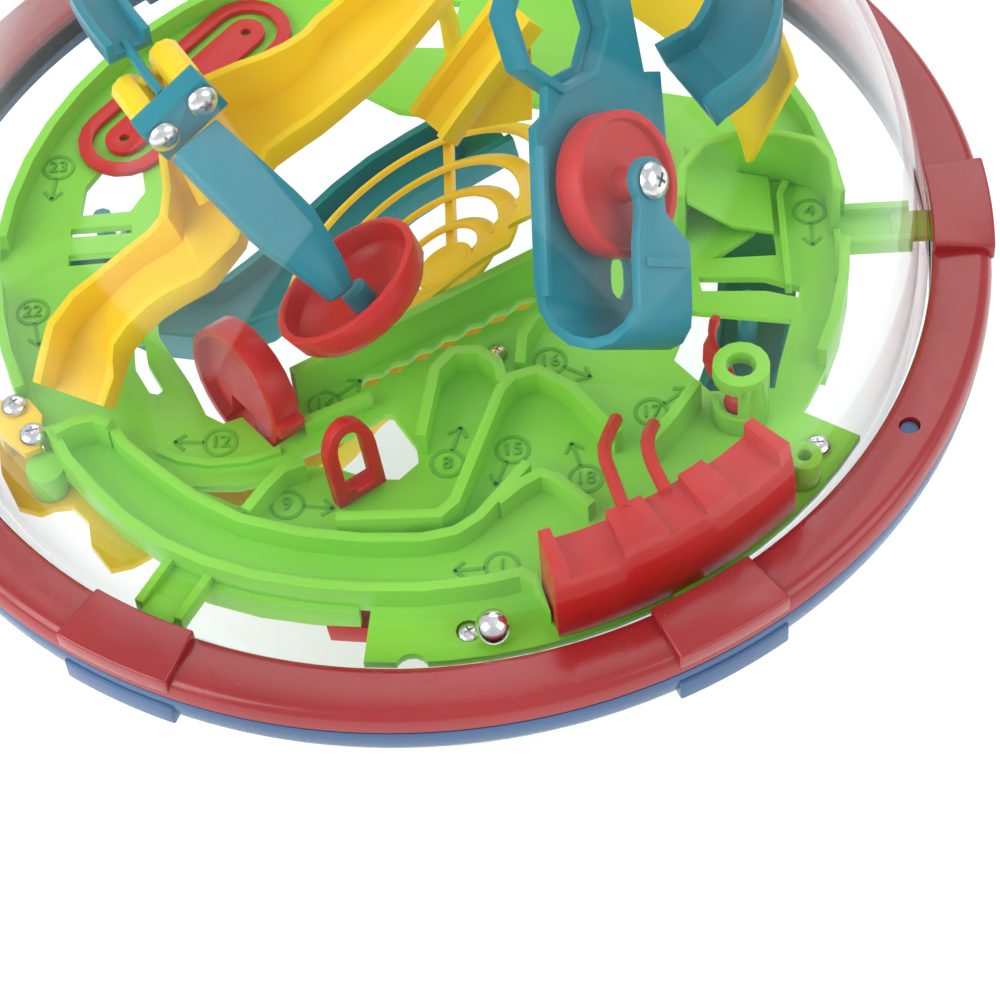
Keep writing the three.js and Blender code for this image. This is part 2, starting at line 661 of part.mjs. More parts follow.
function hookFrame([y, z], [alongY, alongZ], left, right) {
  const half = HOOK_THICKNESS / 2;
  return {
    at: new THREE.Vector3(0, y, z),
    side: new THREE.Vector3(1, 0, 0),
    up: new THREE.Vector3(0, alongZ, -alongY),
    section: [[left, -half], [right, -half], [right, half], [left, half]],
  };
}

// The bent strip in the wheel's own frame: down the back, round the bottom, up the front.
function hookStrip() {
  const middle = (HOOK_BACK + HOOK_FRONT) / 2;
  const bend = (HOOK_FRONT - HOOK_BACK) / 2;
  const frames = [
    hookFrame([33, HOOK_BACK], [-1, 0], -9, 9),
    hookFrame([16, HOOK_BACK], [-1, 0], -11, 13),
    hookFrame([11, HOOK_BACK], [-1, 0], -11.4, 14),
    hookFrame([9, HOOK_BACK], [-1, 0], -14, 14),
    hookFrame([-16, HOOK_BACK], [-1, 0], -14, 14),
  ];
  for (let i = 0; i <= 6; i += 1) {
    const angle = (Math.PI * i) / 6;
    const at = [-20 - bend * Math.sin(angle), middle - bend * Math.cos(angle)];
    const left = -13 + 9.6 * (i / 6);
    frames.push(hookFrame(at, [-Math.cos(angle), Math.sin(angle)], left, 12.4 - 3.4 * (i / 6)));
  }
  frames.push(hookFrame([-10, HOOK_FRONT], [1, 0], -3.4, 9));
  frames.push(hookFrame([-5, HOOK_FRONT], [1, 0], -2.6, 3.4));
  frames.push(hookFrame([0, HOOK_FRONT], [1, 0], -3, 3));
  return loft(frames);
}

function hookPlate() {
  const pocket = circle(POCKET.outer, 8, POCKET.at);
  const parts = joined([
    hookStrip(),
    prism(pocket, HOOK_BACK - 3, HOOK_BACK + 1.8),
    prism(circle(3, 10), HOOK_BACK - 3.6, HOOK_BACK),
    prism(circle(4, 12), HOOK_FRONT - 0.9, HOOK_FRONT + 0.9),
    new THREE.BoxGeometry(9, 1.6, 1.2).translate(2.6, -13, HOOK_FRONT + 1.2),
    new THREE.BoxGeometry(1.2, 24, 1.6).translate(-13.4, -6, HOOK_BACK + 1.4),
    prism(ribbon([[12, -12], [17, 6], [16, 20]], 3.4), HOOK_BACK - 2.6, HOOK_BACK - 0.4),
  ]);
  const shape = cut(parts, [
    prism(circle(AXLE_HOLE, 12), HOOK_BACK - 9, HOOK_FRONT + 4),
    prism(circle(POCKET.inner, 8, POCKET.at), HOOK_BACK - 1.8, HOOK_BACK + 6),
    prism(circle(POCKET.hole, 8, POCKET.at), HOOK_BACK - 9, HOOK_BACK + 6),
    prism(stadium([4.8, -15.8], [4.8, -13.2], 2.4, 6), HOOK_BACK - 3, HOOK_BACK + 3),
  ]);
  return geometryOf(shape).applyMatrix4(wheelFrame());
}

// ---------------------------------------------------------------- beam, clamp and dish

const DISH = { at: [-10.6, -30, 29], axis: [-0.52, 0.19, 0.83], radius: 13.8 };
const DISH_FLOOR = -6.8;

function dishFrame() {
  return placement(DISH.at, DISH.axis, [0, 1, 0]);
}

function tiltDish() {
  const profile = [
    [AXLE_HOLE, -8.4], [6, -8.1], [11.4, -6.4], [13.2, -4.2], [13.8, 0], [12.4, 0],
    [11.8, -3.4], [10.2, -5], [5.5, -6.3], [AXLE_HOLE, DISH_FLOOR],
  ].map(([x, z]) => new THREE.Vector2(x, z));
  profile.push(profile[0].clone());
  return facing(new THREE.LatheGeometry(profile, 24).rotateX(Math.PI / 2)).applyMatrix4(dishFrame());
}

function dishPin() {
  const profile = [
    [0, -10.4], [2.6, -10.4], [2.6, -8.9], [AXLE_RADIUS, -8.9], [AXLE_RADIUS, -6], [2.4, -6], [2.4, -2.4], [0, -2.4],
  ].map(([x, z]) => new THREE.Vector2(x, z));
  return facing(new THREE.LatheGeometry(profile, 12).rotateX(Math.PI / 2)).applyMatrix4(dishFrame());
}

const CLAMP = { at: [-35.7, -9.4, 48.6], axis: [0.47, -0.87, 0.12], across: [0.8, 0.42, 0.43] };
const CLAMP_SPAN = 13.6;

function clampFrame() {
  return placement(CLAMP.at, CLAMP.axis, new THREE.Vector3(...CLAMP.across).cross(
    new THREE.Vector3(...CLAMP.axis),
  ).negate().toArray());
}

function clampPoint(x, y, z) {
  return new THREE.Vector3(x, y, z).applyMatrix4(clampFrame()).toArray();
}

function beamSection(half, rise) {
  return [[-half, -rise], [half, -rise], [half, rise * 0.6], [0.2 * half, rise], [-half, rise * 0.5]];
}

function beam() {
  const line = [[-33.4, -13, 46.1], [-25.2, -20.2, 41], [-17.8, -26.4, 36.2], [-13.2, -30.6, 32.2], [-10.8, -33, 29]];
  const bar = loft(framesAlong(line, 8, (share) => {
    const half = share < 0.6 ? 5.1 + 1.2 * share : 5.8 - 3.4 * ((share - 0.6) / 0.4);
    return beamSection(half, 1.9);
  }));
  const hole = prism(circle(2.7, 12), -12, -1.9).applyMatrix4(dishFrame());
  return geometryOf(cut(solid(bar), [hole, ...CLAMP_SCREWS.map((spec) => screwShape(spec, 0.3))]));
}

const CLAMP_SCREWS = [-4.2, 4.2].map((x) => ({
  at: clampPoint(x, 0.8, 2.6), axis: CLAMP.axis, head: 2.7, shank: 1.2, length: 9,
}));

function beamClamp() {
  const block = new THREE.BoxGeometry(CLAMP_SPAN, 8, 4.4).applyMatrix4(clampFrame());
  return geometryOf(cut(solid(block), CLAMP_SCREWS.map((spec) => screwShape(spec, 0.3))));
}

function beamRail() {
  const line = [[-51, 16.4, 51.5], [-48, 10, 51], [-44, 3.4, 51]];
  const rail = loft(framesAlong(line, 3, () => gutter(5.4, 2.6, 2.6, 1.4)));
  const tongue = rod([[-45, 5, 51], clampPoint(0, 3.2, -10), clampPoint(0, 3, -2.7)], 0.9, 4);
  return geometryOf(joined([rail, tongue]));
}

// ---------------------------------------------------------------- yellow pieces

const WAVE_LINE = [
  [-57.6, -34.4, 7], [-54, -27.1, 12], [-45, -22.6, 20], [-35, -19.4, 25], [-31.6, -12, 29],
  [-28, -3.6, 32], [-18, 3.4, 34.6], [-8, 12, 37], [-1, 21.6, 38], [5.8, 31.4, 38.5],
];

// A point on a clamp screw's line, a distance behind its head.
function behindClamp(spec, distance) {
  const inwards = new THREE.Vector3(...CLAMP.axis).normalize().multiplyScalar(-distance);
  return new THREE.Vector3(...spec.at).add(inwards).toArray();
}

function waveTrack() {
  const track = loft(framesAlong(WAVE_LINE, 22, (share) => {
    const wave = Math.sin(share * 7 * Math.PI);
    const bulge = 4 * Math.exp(-(((share - 0.55) / 0.12) ** 2));
    const sweep = 5.4 * Math.exp(-(((share - 0.5) / 0.075) ** 2)) + 2.6 * Math.exp(-(((share - 0.78) / 0.06) ** 2));
    return gutter(9.6, 6 + 1.4 * wave + bulge, 3.4, 1.5).map(([side, up]) => [side < 0 ? side - sweep : side, up]);
  }));
  const posts = CLAMP_SCREWS.map((spec) => {
    const post = prism(circle(2.9, 10), -9.6, 0);
    return post.applyMatrix4(placement(behindClamp(spec, 5.2), CLAMP.axis, [0, 0, 1]));
  });
  const web = rod([[-41.1, 0.8, 46], [-39, -3, 41], [-33, -13, 31]], 2, 4);
  const bridge = rod(CLAMP_SCREWS.map((spec) => behindClamp(spec, 12.4)), 1.6, 2);
  const legs = [rod([[4.6, 29.6, 36.6], [6.6, 38, 20], [7, 42, 0.3]], 1.8, 4)];
  const shape = joined([track, ...posts, web, bridge, ...legs]);
  return geometryOf(cut(shape, CLAMP_SCREWS.map((spec) => screwShape(spec, 0.3))));
}

// The bracket clasps the plate's edge: a shelf above, a long strip below, and a web joining them.
function trackBracket() {
  const shelf = prism(
    [[-74.6, -30.4], [-67.4, -30.4], [-64.8, -34], [-64.6, -41], [-67.2, -42.2], [-71.8, -37.6]],
    1,
    2.6,
  );
  const web = prism([[-73.3, -33.8], [-71.9, -33.4], [-70.9, -36.6], [-71.9, -36.9]], -6.2, 1.8);
  const strip = prism(
    [
      [-74, -32.8], [-72.8, -40], [-69.4, -47.3], [-65.6, -48.8], [-63.2, -47.8], [-60.2, -47.6],
      [-57.1, -51.2], [-56.4, -56], [-52.9, -61.2], [-49.2, -60.4], [-46.1, -58.5], [-50.9, -54.3],
      [-57.1, -46.4], [-61, -40.6], [-65.5, -35.5], [-69.5, -31.5],
    ],
    -7,
    -5.5,
  );
  const screws = ['bracket_screw_1', 'bracket_screw_2', 'bracket_screw_3'];
  return geometryOf(cut(joined([shelf, web, strip]), screws.map((name) => screwShape(SCREWS[name], 0.3))));
}

const FUNNEL = { at: [0.4, -1.6, 7], axis: [-0.46, 0.22, 0.86] };
const FUNNEL_RINGS = [[28.4, 0.6], [22.6, -1.9], [17, -4.2], [11.4, -6.4]];
const FUNNEL_CUP = [5.6, -8.6];
const FUNNEL_CUT = [[-24.1, -31.9], [21.9, -5.6], [34, -2], [40, -60], [-40, -60], [-40, -40]];

function funnelFrame() {
  return placement(FUNNEL.at, FUNNEL.axis, [0, 1, 0]);
}

function turnedBand(inner, outer, low, high, slope) {
  const profile = [[inner, low - slope], [outer, low], [outer, high], [inner, high - slope], [inner, low - slope]];
  const points = profile.map(([x, z]) => new THREE.Vector2(x, z));
  return facing(new THREE.LatheGeometry(points, 22).rotateX(Math.PI / 2));
}

function spiralFunnel() {
  const bands = FUNNEL_RINGS.map(([radius, z]) => turnedBand(radius - 3.7, radius, z - 1.2, z, 2));
  const cup = prism(circle(FUNNEL_CUP[0], 14), FUNNEL_CUP[1] - 1.4, FUNNEL_CUP[1]);
  const ribs = [15, 87, 159, 231, 303].map((angle) => {
    const spine = [[3, -9.2], [27.8, -0.8], [27.8, -2.4], [3, -10.6]];
    const rib = prism(spine, -0.8, 0.8).rotateX(Math.PI / 2);
    return rib.rotateZ(radians(angle));
  });
  const whole = geometryOf(joined([...bands, cup, ...ribs])).applyMatrix4(funnelFrame());
  return geometryOf(cut(solid(whole), [prism(FUNNEL_CUT, -14, 34)]));
}

function feedChute() {
  const line = [[20.4, 20.6, 37], [14, 15.6, 31.4], [7.4, 10.4, 25.6], [4.4, 8, 22.6]];
  const chute = loft(framesAlong(line, 6, () => gutter(6.4, 3.6, 3.6, 1.4)));
  return geometryOf(joined([chute, wing()]));
}

// The three-cornered web that closes the chute's right side down to the funnel.
function wing() {
  const corners = [[8.6, 8.6, 21.4], [21, 10.4, 21.4], [21.6, 13.6, 30], [21.4, 18.4, 35]];
  const offset = new THREE.Vector3(0.1, -0.75, 0.65);
  const positions = corners.concat(corners.map((c) => new THREE.Vector3(...c).addScaledVector(offset, -1.4).toArray()));
  const geometry = new THREE.BufferGeometry();
  geometry.setAttribute('position', new THREE.Float32BufferAttribute(positions.flat(), 3));
  const sides = [0, 1, 2, 3].flatMap((i) => [i, i + 4, (i + 1) % 4, (i + 1) % 4, i + 4, ((i + 1) % 4) + 4]);
  geometry.setIndex([0, 1, 3, 1, 2, 3, 4, 7, 5, 5, 7, 6, ...sides]);
  return facingOut(geometry);
}

function outerSheet() {
  const line = arc(62.4, 5, 50, 9).map(([x, y]) => [x, y, 23]);
  return loft(framesAlong(line, 10, () => [[-4.6, -9.8], [-3, -9.8], [4.6, 10], [3, 10]]));
}

// ---------------------------------------------------------------- green and teal pieces

function sideTub() {
  const wall = prism(ribbon(TUB_LINE, 1.6), 0.3, 12.4);
  const deck = loft([[47, 10.6], [55, 3.4], [62.4, 1.2]].map(([x, z]) => ({
    at: new THREE.Vector3(x, 5, z),
    side: new THREE.Vector3(0, 1, 0),
    up: new THREE.Vector3(0, 0, 1),
    section: [[-6, -0.7], [7, -0.7], [7, 0.7], [-6, 0.7]],
  })));
  return geometryOf(joined([wall, deck]));
}

const POST_AT = [53.8, -39.6];

function hookPost() {
  const ring = prism(circle(4.8, 16, POST_AT), 10.4, 13.4);
  const back = prism(arc(4.8, -100, 40, 6).map(([x, y]) => [POST_AT[0] + x, POST_AT[1] + y]).concat(
    arc(2.6, 40, -100, 6).map(([x, y]) => [POST_AT[0] + x, POST_AT[1] + y]),
  ), 0.3, 12);
  const lower = prism(
    ribbon(arc(4.4, 165, 290, 6).map(([x, y]) => [POST_AT[0] + x, POST_AT[1] + y]), 1.2),
    0.3,
    4.4,
  );
  return geometryOf(cut(joined([ring, back, lower]), [prism(circle(3.5, 14, POST_AT), -1, 8.4), prism(circle(2.6, 12, POST_AT), 8, 20)]));
}

function bossPost() {
  const at = [63.2, -53.8];
  return geometryOf(cut(solid(prism(circle(3, 14, at), 0.3, 6.6)), [prism(circle(1.2, 8, at), 2, 9)]));
}

function tealScoop() {
  const line = [[58, 21, 42], [57.6, 12, 41], [54, 4.6, 38.5], [47.6, 1.2, 36]];
  return loft(framesAlong(line, 9, (share) => gutter(8 + 6 * share, 5.5, 5, 1.5)));
}

function post(x, y, low, high, radius = 1.8) {
  return prism(circle(radius, 8, [x, y]), low, high);
}

// Gutters of the lower half hang from the plate on round posts.
function hangingGutter(line, steps, width, walls, posts) {
  const track = loft(framesAlong(line, steps, () => gutter(width, walls, walls, 1.5)));
  return geometryOf(joined([track, ...posts.map(([x, y, z]) => post(x, y, z, -PLATE_FLOOR - 0.3))]));
}

// ---------------------------------------------------------------- assembly

node('upper_rim', upperRim(), RIM_RED, 0.3);
node('lower_rim', lowerRim(), RIM_BLUE, 0.35);
node('upper_dome', dome(1), CLEAR, 0.05);
node('lower_dome', dome(-1), CLEAR, 0.05);
node('maze_plate', mazePlate(), GREEN);
node('start_block', startBlock(), RED);
node('drum_gate', drumGate(), RED);
node('hoop_gate', hoopGate(), RED);
node('paddle', paddle(), RED);
node('loop_rail', loopRail(), RED);
node('hook_plate', hookPlate(), TEAL);
node('spin_wheel', spinWheel(), RED);
node('wheel_screw', wheelScrew(), STEEL, 0.25, 0.9);
node('tilt_dish', tiltDish(), RED);
node('dish_pin', dishPin(), TEAL);
node('beam', beam(), TEAL);
node('beam_clamp', beamClamp(), TEAL);
node('beam_rail', beamRail(), TEAL);
CLAMP_SCREWS.forEach((spec, i) => addScrew(`clamp_screw_${i + 1}`, spec));
node('wave_track', waveTrack(), YELLOW);
node('track_bracket', trackBracket(), YELLOW);
node('spiral_funnel', spiralFunnel(), YELLOW);
node('feed_chute', feedChute(), YELLOW);
node('outer_sheet', outerSheet(), YELLOW);
node('side_tub', sideTub(), GREEN);
node('hook_post', hookPost(), GREEN);
node('boss_post', bossPost(), GREEN);
node('teal_scoop', tealScoop(), TEAL);
Object.entries(SCREWS).forEach(([name, spec]) => addScrew(name, spec));
node('steel_ball', new THREE.SphereGeometry(BALL_RADIUS, 16, 10).translate(11.3, -82.5, 3.3), STEEL, 0.12, 1);
node('under_channel', hangingGutter(
  [[-62, 20, -16], [-54, 6, -18], [-38, 2, -20], [-26, 14, -23], [-8, 32, -21], [14, 44, -17]],
  13, 11, 5, [[-58, 14.6, -18.8], [5.6, 40.4, -20]],
), TEAL);
node('under_ramp', hangingGutter(
  [[60, 14, -14], [59, -6, -16], [54, -24, -20], [40, -38, -25], [26, -46, -28]],
  10, 11, 5, [[57, -12.6, -18.8], [43, -36.6, -25.6]],
), TEAL);
node('under_chute', hangingGutter(
  [[24, 1, -17], [4, -9, -16.5], [-11, -17.6, -16.5], [-20, -29, -17], [-34, -41, -18], [-47, -50, -18]],
  12, 10, 5, [[-31, -39, -19], [-43.4, -48, -19]],
), YELLOW);
node('under_tray', hangingGutter(
  [[-16, -65.6, -14], [-4, -67.6, -13], [10, -67, -12]], 5, 8, 3, [[8.5, -65.4, -14.4]],
), RED);

export default root;
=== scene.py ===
"""A clear maze ball: two clear domes in a two-colour rim, round a plate of coloured tracks.

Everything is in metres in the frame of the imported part. Sizes in the classes are in
millimetres, as on a drawing, and are scaled once, where a mesh is made.
"""

import logging
import math
from collections.abc import Callable, Iterable, Sequence
from dataclasses import dataclass
from enum import Enum

import bmesh
import bpy
from mathutils import Matrix, Vector


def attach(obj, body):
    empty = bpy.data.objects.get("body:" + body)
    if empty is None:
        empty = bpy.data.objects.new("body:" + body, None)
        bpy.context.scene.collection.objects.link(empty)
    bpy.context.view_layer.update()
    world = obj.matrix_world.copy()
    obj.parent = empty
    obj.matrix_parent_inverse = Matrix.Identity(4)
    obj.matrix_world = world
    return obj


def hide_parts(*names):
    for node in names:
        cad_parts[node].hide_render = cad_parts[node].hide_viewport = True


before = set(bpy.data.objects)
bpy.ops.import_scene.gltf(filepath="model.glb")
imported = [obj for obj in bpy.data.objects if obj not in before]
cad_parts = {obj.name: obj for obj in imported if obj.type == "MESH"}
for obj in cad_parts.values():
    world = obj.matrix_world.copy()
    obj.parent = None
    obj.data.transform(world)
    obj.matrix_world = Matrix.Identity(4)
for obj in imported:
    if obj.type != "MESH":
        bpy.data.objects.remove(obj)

log = logging.getLogger("maze_ball")

MM = 0.001
Point2 = tuple[float, float]
Point3 = tuple[float, float, float]
Colour = tuple[float, float, float]


class Body(Enum):
    """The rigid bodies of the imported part."""

    SHELL = "shell"
    WHEEL = "wheel"
    DISH = "dish"
    BALL = "ball"


# ---------------------------------------------------------------- shared shader groups


def new_group(name: str, inputs: dict[str, tuple[str, float]], outputs: dict[str, str]) -> bpy.types.NodeTree:
    """Start a shader node group with named sockets.

    Args:
        name: Name of the group.
        inputs: Socket name to socket type and starting value.
        outputs: Socket name to socket type.

    Returns:
        The empty group, with its input and output nodes placed.
    """
    group = bpy.data.node_groups.new(name, "ShaderNodeTree")
    for label, (kind, value) in inputs.items():
        socket = group.interface.new_socket(label, in_out="INPUT", socket_type=kind)
        if kind == "NodeSocketFloat":
            socket.default_value = value
    for label, kind in outputs.items():
        group.interface.new_socket(label, in_out="OUTPUT", socket_type=kind)
    group.nodes.new("NodeGroupInput")
    group.nodes.new("NodeGroupOutput")
    return group


def add_node(
    tree: bpy.types.NodeTree, kind: str, inputs: dict[str | int, object] | None = None, **options: object
) -> bpy.types.Node:
    """Add a node with its options set and each input linked or given a value.

    Args:
        tree: Tree that takes the node.
        kind: The node's type.
        inputs: Input name or number to the socket that feeds it, or to its value.
        options: The node's own settings, by name.

    Returns:
        The new node.
    """
    node = tree.nodes.new(kind)
    for label, value in options.items():
        setattr(node, label, value)
    for label, value in (inputs or {}).items():
        if isinstance(value, bpy.types.NodeSocket):
            tree.links.new(value, node.inputs[label])
        else:
            node.inputs[label].default_value = value
    return node


def noise_node(tree: bpy.types.NodeTree, scale: float, detail: float, rough: float) -> bpy.types.Node:
    """Add a three-dimensional noise texture.

    Args:
        tree: Tree that takes the node.
        scale: Waves per metre.
        detail: Octaves of finer noise.
        rough: Strength of the finer octaves.

    Returns:
        The noise node.
    """
    return add_node(tree, "ShaderNodeTexNoise", {"Scale": scale, "Detail": detail, "Roughness": rough})


def mould_flow_group() -> bpy.types.NodeTree:
    """Build the group for moulded plastic: slow colour flow, fine grain and light scuffs.

    Returns:
        A group with the outputs Flow, Scuff and Height.
    """
    group = new_group(
        "mould_flow",
        {"Vector": ("NodeSocketVector", 0.0), "Flow Scale": ("NodeSocketFloat", 18.0),
         "Grain Scale": ("NodeSocketFloat", 900.0), "Grain Depth": ("NodeSocketFloat", 0.35)},
        {"Flow": "NodeSocketFloat", "Scuff": "NodeSocketFloat", "Height": "NodeSocketFloat"},
    )
    links = group.links
    source, target = group.nodes["Group Input"].outputs, group.nodes["Group Output"].inputs
    flow = noise_node(group, 18.0, 2.0, 0.45)
    grain = noise_node(group, 900.0, 3.0, 0.55)
    scuff = noise_node(group, 160.0, 5.0, 0.7)
    for node, label in ((flow, "Flow Scale"), (grain, "Grain Scale")):
        links.new(source["Vector"], node.inputs["Vector"])
        links.new(source[label], node.inputs["Scale"])
    links.new(source["Vector"], scuff.inputs["Vector"])
    spread = add_node(group, "ShaderNodeMapRange",
                      {"From Min": 0.3, "From Max": 0.7, "Value": flow.outputs["Fac"]})
    sparse = add_node(group, "ShaderNodeMapRange",
                      {"From Min": 0.52, "From Max": 0.72, "Value": scuff.outputs["Fac"]})
    depth = add_node(group, "ShaderNodeMath", {0: grain.outputs["Fac"], 1: source["Grain Depth"]},
                     operation="MULTIPLY")
    total = add_node(group, "ShaderNodeMath", {0: depth.outputs[0], 1: flow.outputs["Fac"]}, operation="ADD")
    links.new(spread.outputs["Result"], target["Flow"])
    links.new(sparse.outputs["Result"], target["Scuff"])
    links.new(total.outputs[0], target["Height"])
    return group


def handling_group() -> bpy.types.NodeTree:
    """Build the group for handled clear plastic and metal: hairlines and finger haze.

    Returns:
        A group with the outputs Hairline and Haze.
    """
    group = new_group(
        "handling_marks",
        {"Vector": ("NodeSocketVector", 0.0), "Hairline Scale": ("NodeSocketFloat", 60.0),
         "Haze Scale": ("NodeSocketFloat", 22.0)},
        {"Hairline": "NodeSocketFloat", "Haze": "NodeSocketFloat"},
    )
    links = group.links
    source, target = group.nodes["Group Input"].outputs, group.nodes["Group Output"].inputs
    wave = add_node(group, "ShaderNodeTexWave", {
        "Vector": source["Vector"], "Scale": source["Hairline Scale"], "Distortion": 14.0, "Detail": 4.0,
    })
    haze = noise_node(group, 22.0, 3.0, 0.6)
    links.new(source["Vector"], haze.inputs["Vector"])
    links.new(source["Haze Scale"], haze.inputs["Scale"])
    thin = add_node(group, "ShaderNodeMapRange",
                    {"From Min": 0.965, "From Max": 1.0, "Value": wave.outputs["Fac"]})
    soft = add_node(group, "ShaderNodeMapRange",
                    {"From Min": 0.42, "From Max": 0.68, "Value": haze.outputs["Fac"]})
    links.new(thin.outputs["Result"], target["Hairline"])
    links.new(soft.outputs["Result"], target["Haze"])
    return group


GROUP_MAKERS: dict[str, Callable[[], bpy.types.NodeTree]] = {
    "mould_flow": mould_flow_group,
    "handling_marks": handling_group,
}


def place_group(tree: bpy.types.NodeTree, name: str, values: dict[str, float]) -> bpy.types.Node:
    """Place a shared group in a material, fed with object coordinates.

    Args:
        tree: The material's node tree.
        name: Name of the shared group.
        values: Input name to value for this material.

    Returns:
        The group node.
    """
    shared = bpy.data.node_groups.get(name) or GROUP_MAKERS[name]()
    node = tree.nodes.new("ShaderNodeGroup")
    node.node_tree = shared
    for label, value in values.items():
        node.inputs[label].default_value = value
    place = tree.nodes.new("ShaderNodeTexCoord")
    tree.links.new(place.outputs["Object"], node.inputs["Vector"])
    return node


def blank_material(name: str) -> bpy.types.Material:
    """Make a material with an empty node tree and an output node."""
    material = bpy.data.materials.new(name)
    material.use_nodes = True
    material.node_tree.nodes.clear()
    material.node_tree.nodes.new("ShaderNodeOutputMaterial")
    return material


def colour_mix(
    tree: bpy.types.NodeTree, mask: bpy.types.NodeSocket, low: Colour, high: Colour
) -> bpy.types.NodeSocket:
    """Mix two colours by a mask.

    Args:
        tree: Tree that takes the node.
        mask: Socket with the share of the second colour.
        low: Colour where the mask is 0.
        high: Colour where the mask is 1.

    Returns:
        The socket with the mixed colour.
    """
    mix = tree.nodes.new("ShaderNodeMix")
    mix.data_type = "RGBA"
    tree.links.new(mask, mix.inputs["Factor"])
    mix.inputs["A"].default_value = (*low, 1.0)
    mix.inputs["B"].default_value = (*high, 1.0)
    return mix.outputs["Result"]


def value_range(
    tree: bpy.types.NodeTree, source: bpy.types.NodeSocket, low: float, high: float
) -> bpy.types.NodeSocket:
    """Stretch a 0..1 mask to a new range.

    Args:
        tree: Tree that takes the node.
        source: Socket with the mask.
        low: Value where the mask is 0.
        high: Value where the mask is 1.

    Returns:
        The socket with the stretched value.
    """
    stretch = {"To Min": low, "To Max": high, "Value": source}
    return add_node(tree, "ShaderNodeMapRange", stretch).outputs["Result"]


# ---------------------------------------------------------------- finishes


class MadeOnce:
    """A finish whose material is built once and then found by its name."""

    def material(self) -> bpy.types.Material:
        """Return this finish as a material."""
        return bpy.data.materials.get(self.name) or self._build()


@dataclass(frozen=True)
class MouldedPlastic(MadeOnce):
    """Opaque moulded plastic with slow colour flow, a fine mould grain and light scuffs."""

    name: str
    colour: Colour
    deep: Colour
    slot: str
    roughness: float = 0.32
    gloss: float = 0.3
    glow: float = 0.0
    grain: float = 0.3

    def _build(self) -> bpy.types.Material:
        """Build the node tree of the finish."""
        material = blank_material(self.name)
        tree = material.node_tree
        flow = place_group(tree, "mould_flow", {"Flow Scale": 22.0, "Grain Depth": self.grain})
        bump = add_node(tree, "ShaderNodeBump",
                        {"Strength": 0.12, "Distance": 0.00025, "Height": flow.outputs["Height"]})
        shader = add_node(tree, "ShaderNodeBsdfPrincipled", {
            "Base Color": colour_mix(tree, flow.outputs["Flow"], self.deep, self.colour),
            "Roughness": value_range(tree, flow.outputs["Scuff"], self.roughness, self.roughness + 0.16),
            "Normal": bump.outputs["Normal"], "Specular IOR Level": self.gloss,
            "Subsurface Weight": self.glow, "Subsurface Radius": (1.0, 0.6, 0.4), "Subsurface Scale": 0.003,
        })
        tree.links.new(shader.outputs["BSDF"], tree.nodes["Material Output"].inputs["Surface"])
        return material


@dataclass(frozen=True)
class ClearPlastic(MadeOnce):
    """Clear polished plastic: seen through face on, glossy at the edge, a little hazed."""

    name: str = "clear_dome"
    slot: str = "clear_shell"
    tint: Colour = (0.975, 0.982, 0.985)
    edge: float = 0.8
    haze: float = 0.012
    steepness: float = 4.5

    def _build(self) -> bpy.types.Material:
        """Build the node tree of the finish."""
        material = blank_material(self.name)
        tree = material.node_tree
        seen = add_node(tree, "ShaderNodeBsdfTransparent", {"Color": (*self.tint, 1.0)})
        marks = place_group(tree, "handling_marks", {"Hairline Scale": 55.0, "Haze Scale": 16.0})
        haze = marks.outputs["Haze"]
        gloss = add_node(tree, "ShaderNodeBsdfPrincipled", {
            "Metallic": 1.0, "Base Color": colour_mix(tree, haze, (0.86, 0.88, 0.9), (0.96, 0.97, 0.98)),
            "Roughness": value_range(tree, haze, 0.03, 0.09),
        })
        facing = add_node(tree, "ShaderNodeLayerWeight", {"Blend": 0.5})
        steep = add_node(tree, "ShaderNodeMath", {0: facing.outputs["Facing"], 1: self.steepness},
                         operation="POWER")
        share = value_range(tree, steep.outputs[0], self.haze, self.edge)
        mix = add_node(tree, "ShaderNodeMixShader",
                       {"Fac": share, 1: seen.outputs["BSDF"], 2: gloss.outputs["BSDF"]})
        tree.links.new(mix.outputs["Shader"], tree.nodes["Material Output"].inputs["Surface"])
        return material


@dataclass(frozen=True)
class BrightMetal(MadeOnce):
    """Plated or polished metal with handling marks."""

    name: str
    slot: str
    colour: Colour
    dull: Colour
    roughness: float = 0.14

    def _build(self) -> bpy.types.Material:
        """Build the node tree of the finish."""
        material = blank_material(self.name)
        tree = material.node_tree
        marks = place_group(tree, "handling_marks", {"Hairline Scale": 700.0, "Haze Scale": 420.0})
        haze = marks.outputs["Haze"]
        bump = add_node(tree, "ShaderNodeBump",
                        {"Strength": 0.2, "Distance": 0.00005, "Height": marks.outputs["Hairline"]})
        shader = add_node(tree, "ShaderNodeBsdfPrincipled", {
            "Metallic": 1.0, "Base Color": colour_mix(tree, haze, self.colour, self.dull),
            "Roughness": value_range(tree, haze, self.roughness, self.roughness + 0.12),
            "Normal": bump.outputs["Normal"],
        })
        tree.links.new(shader.outputs["BSDF"], tree.nodes["Material Output"].inputs["Surface"])
        return material


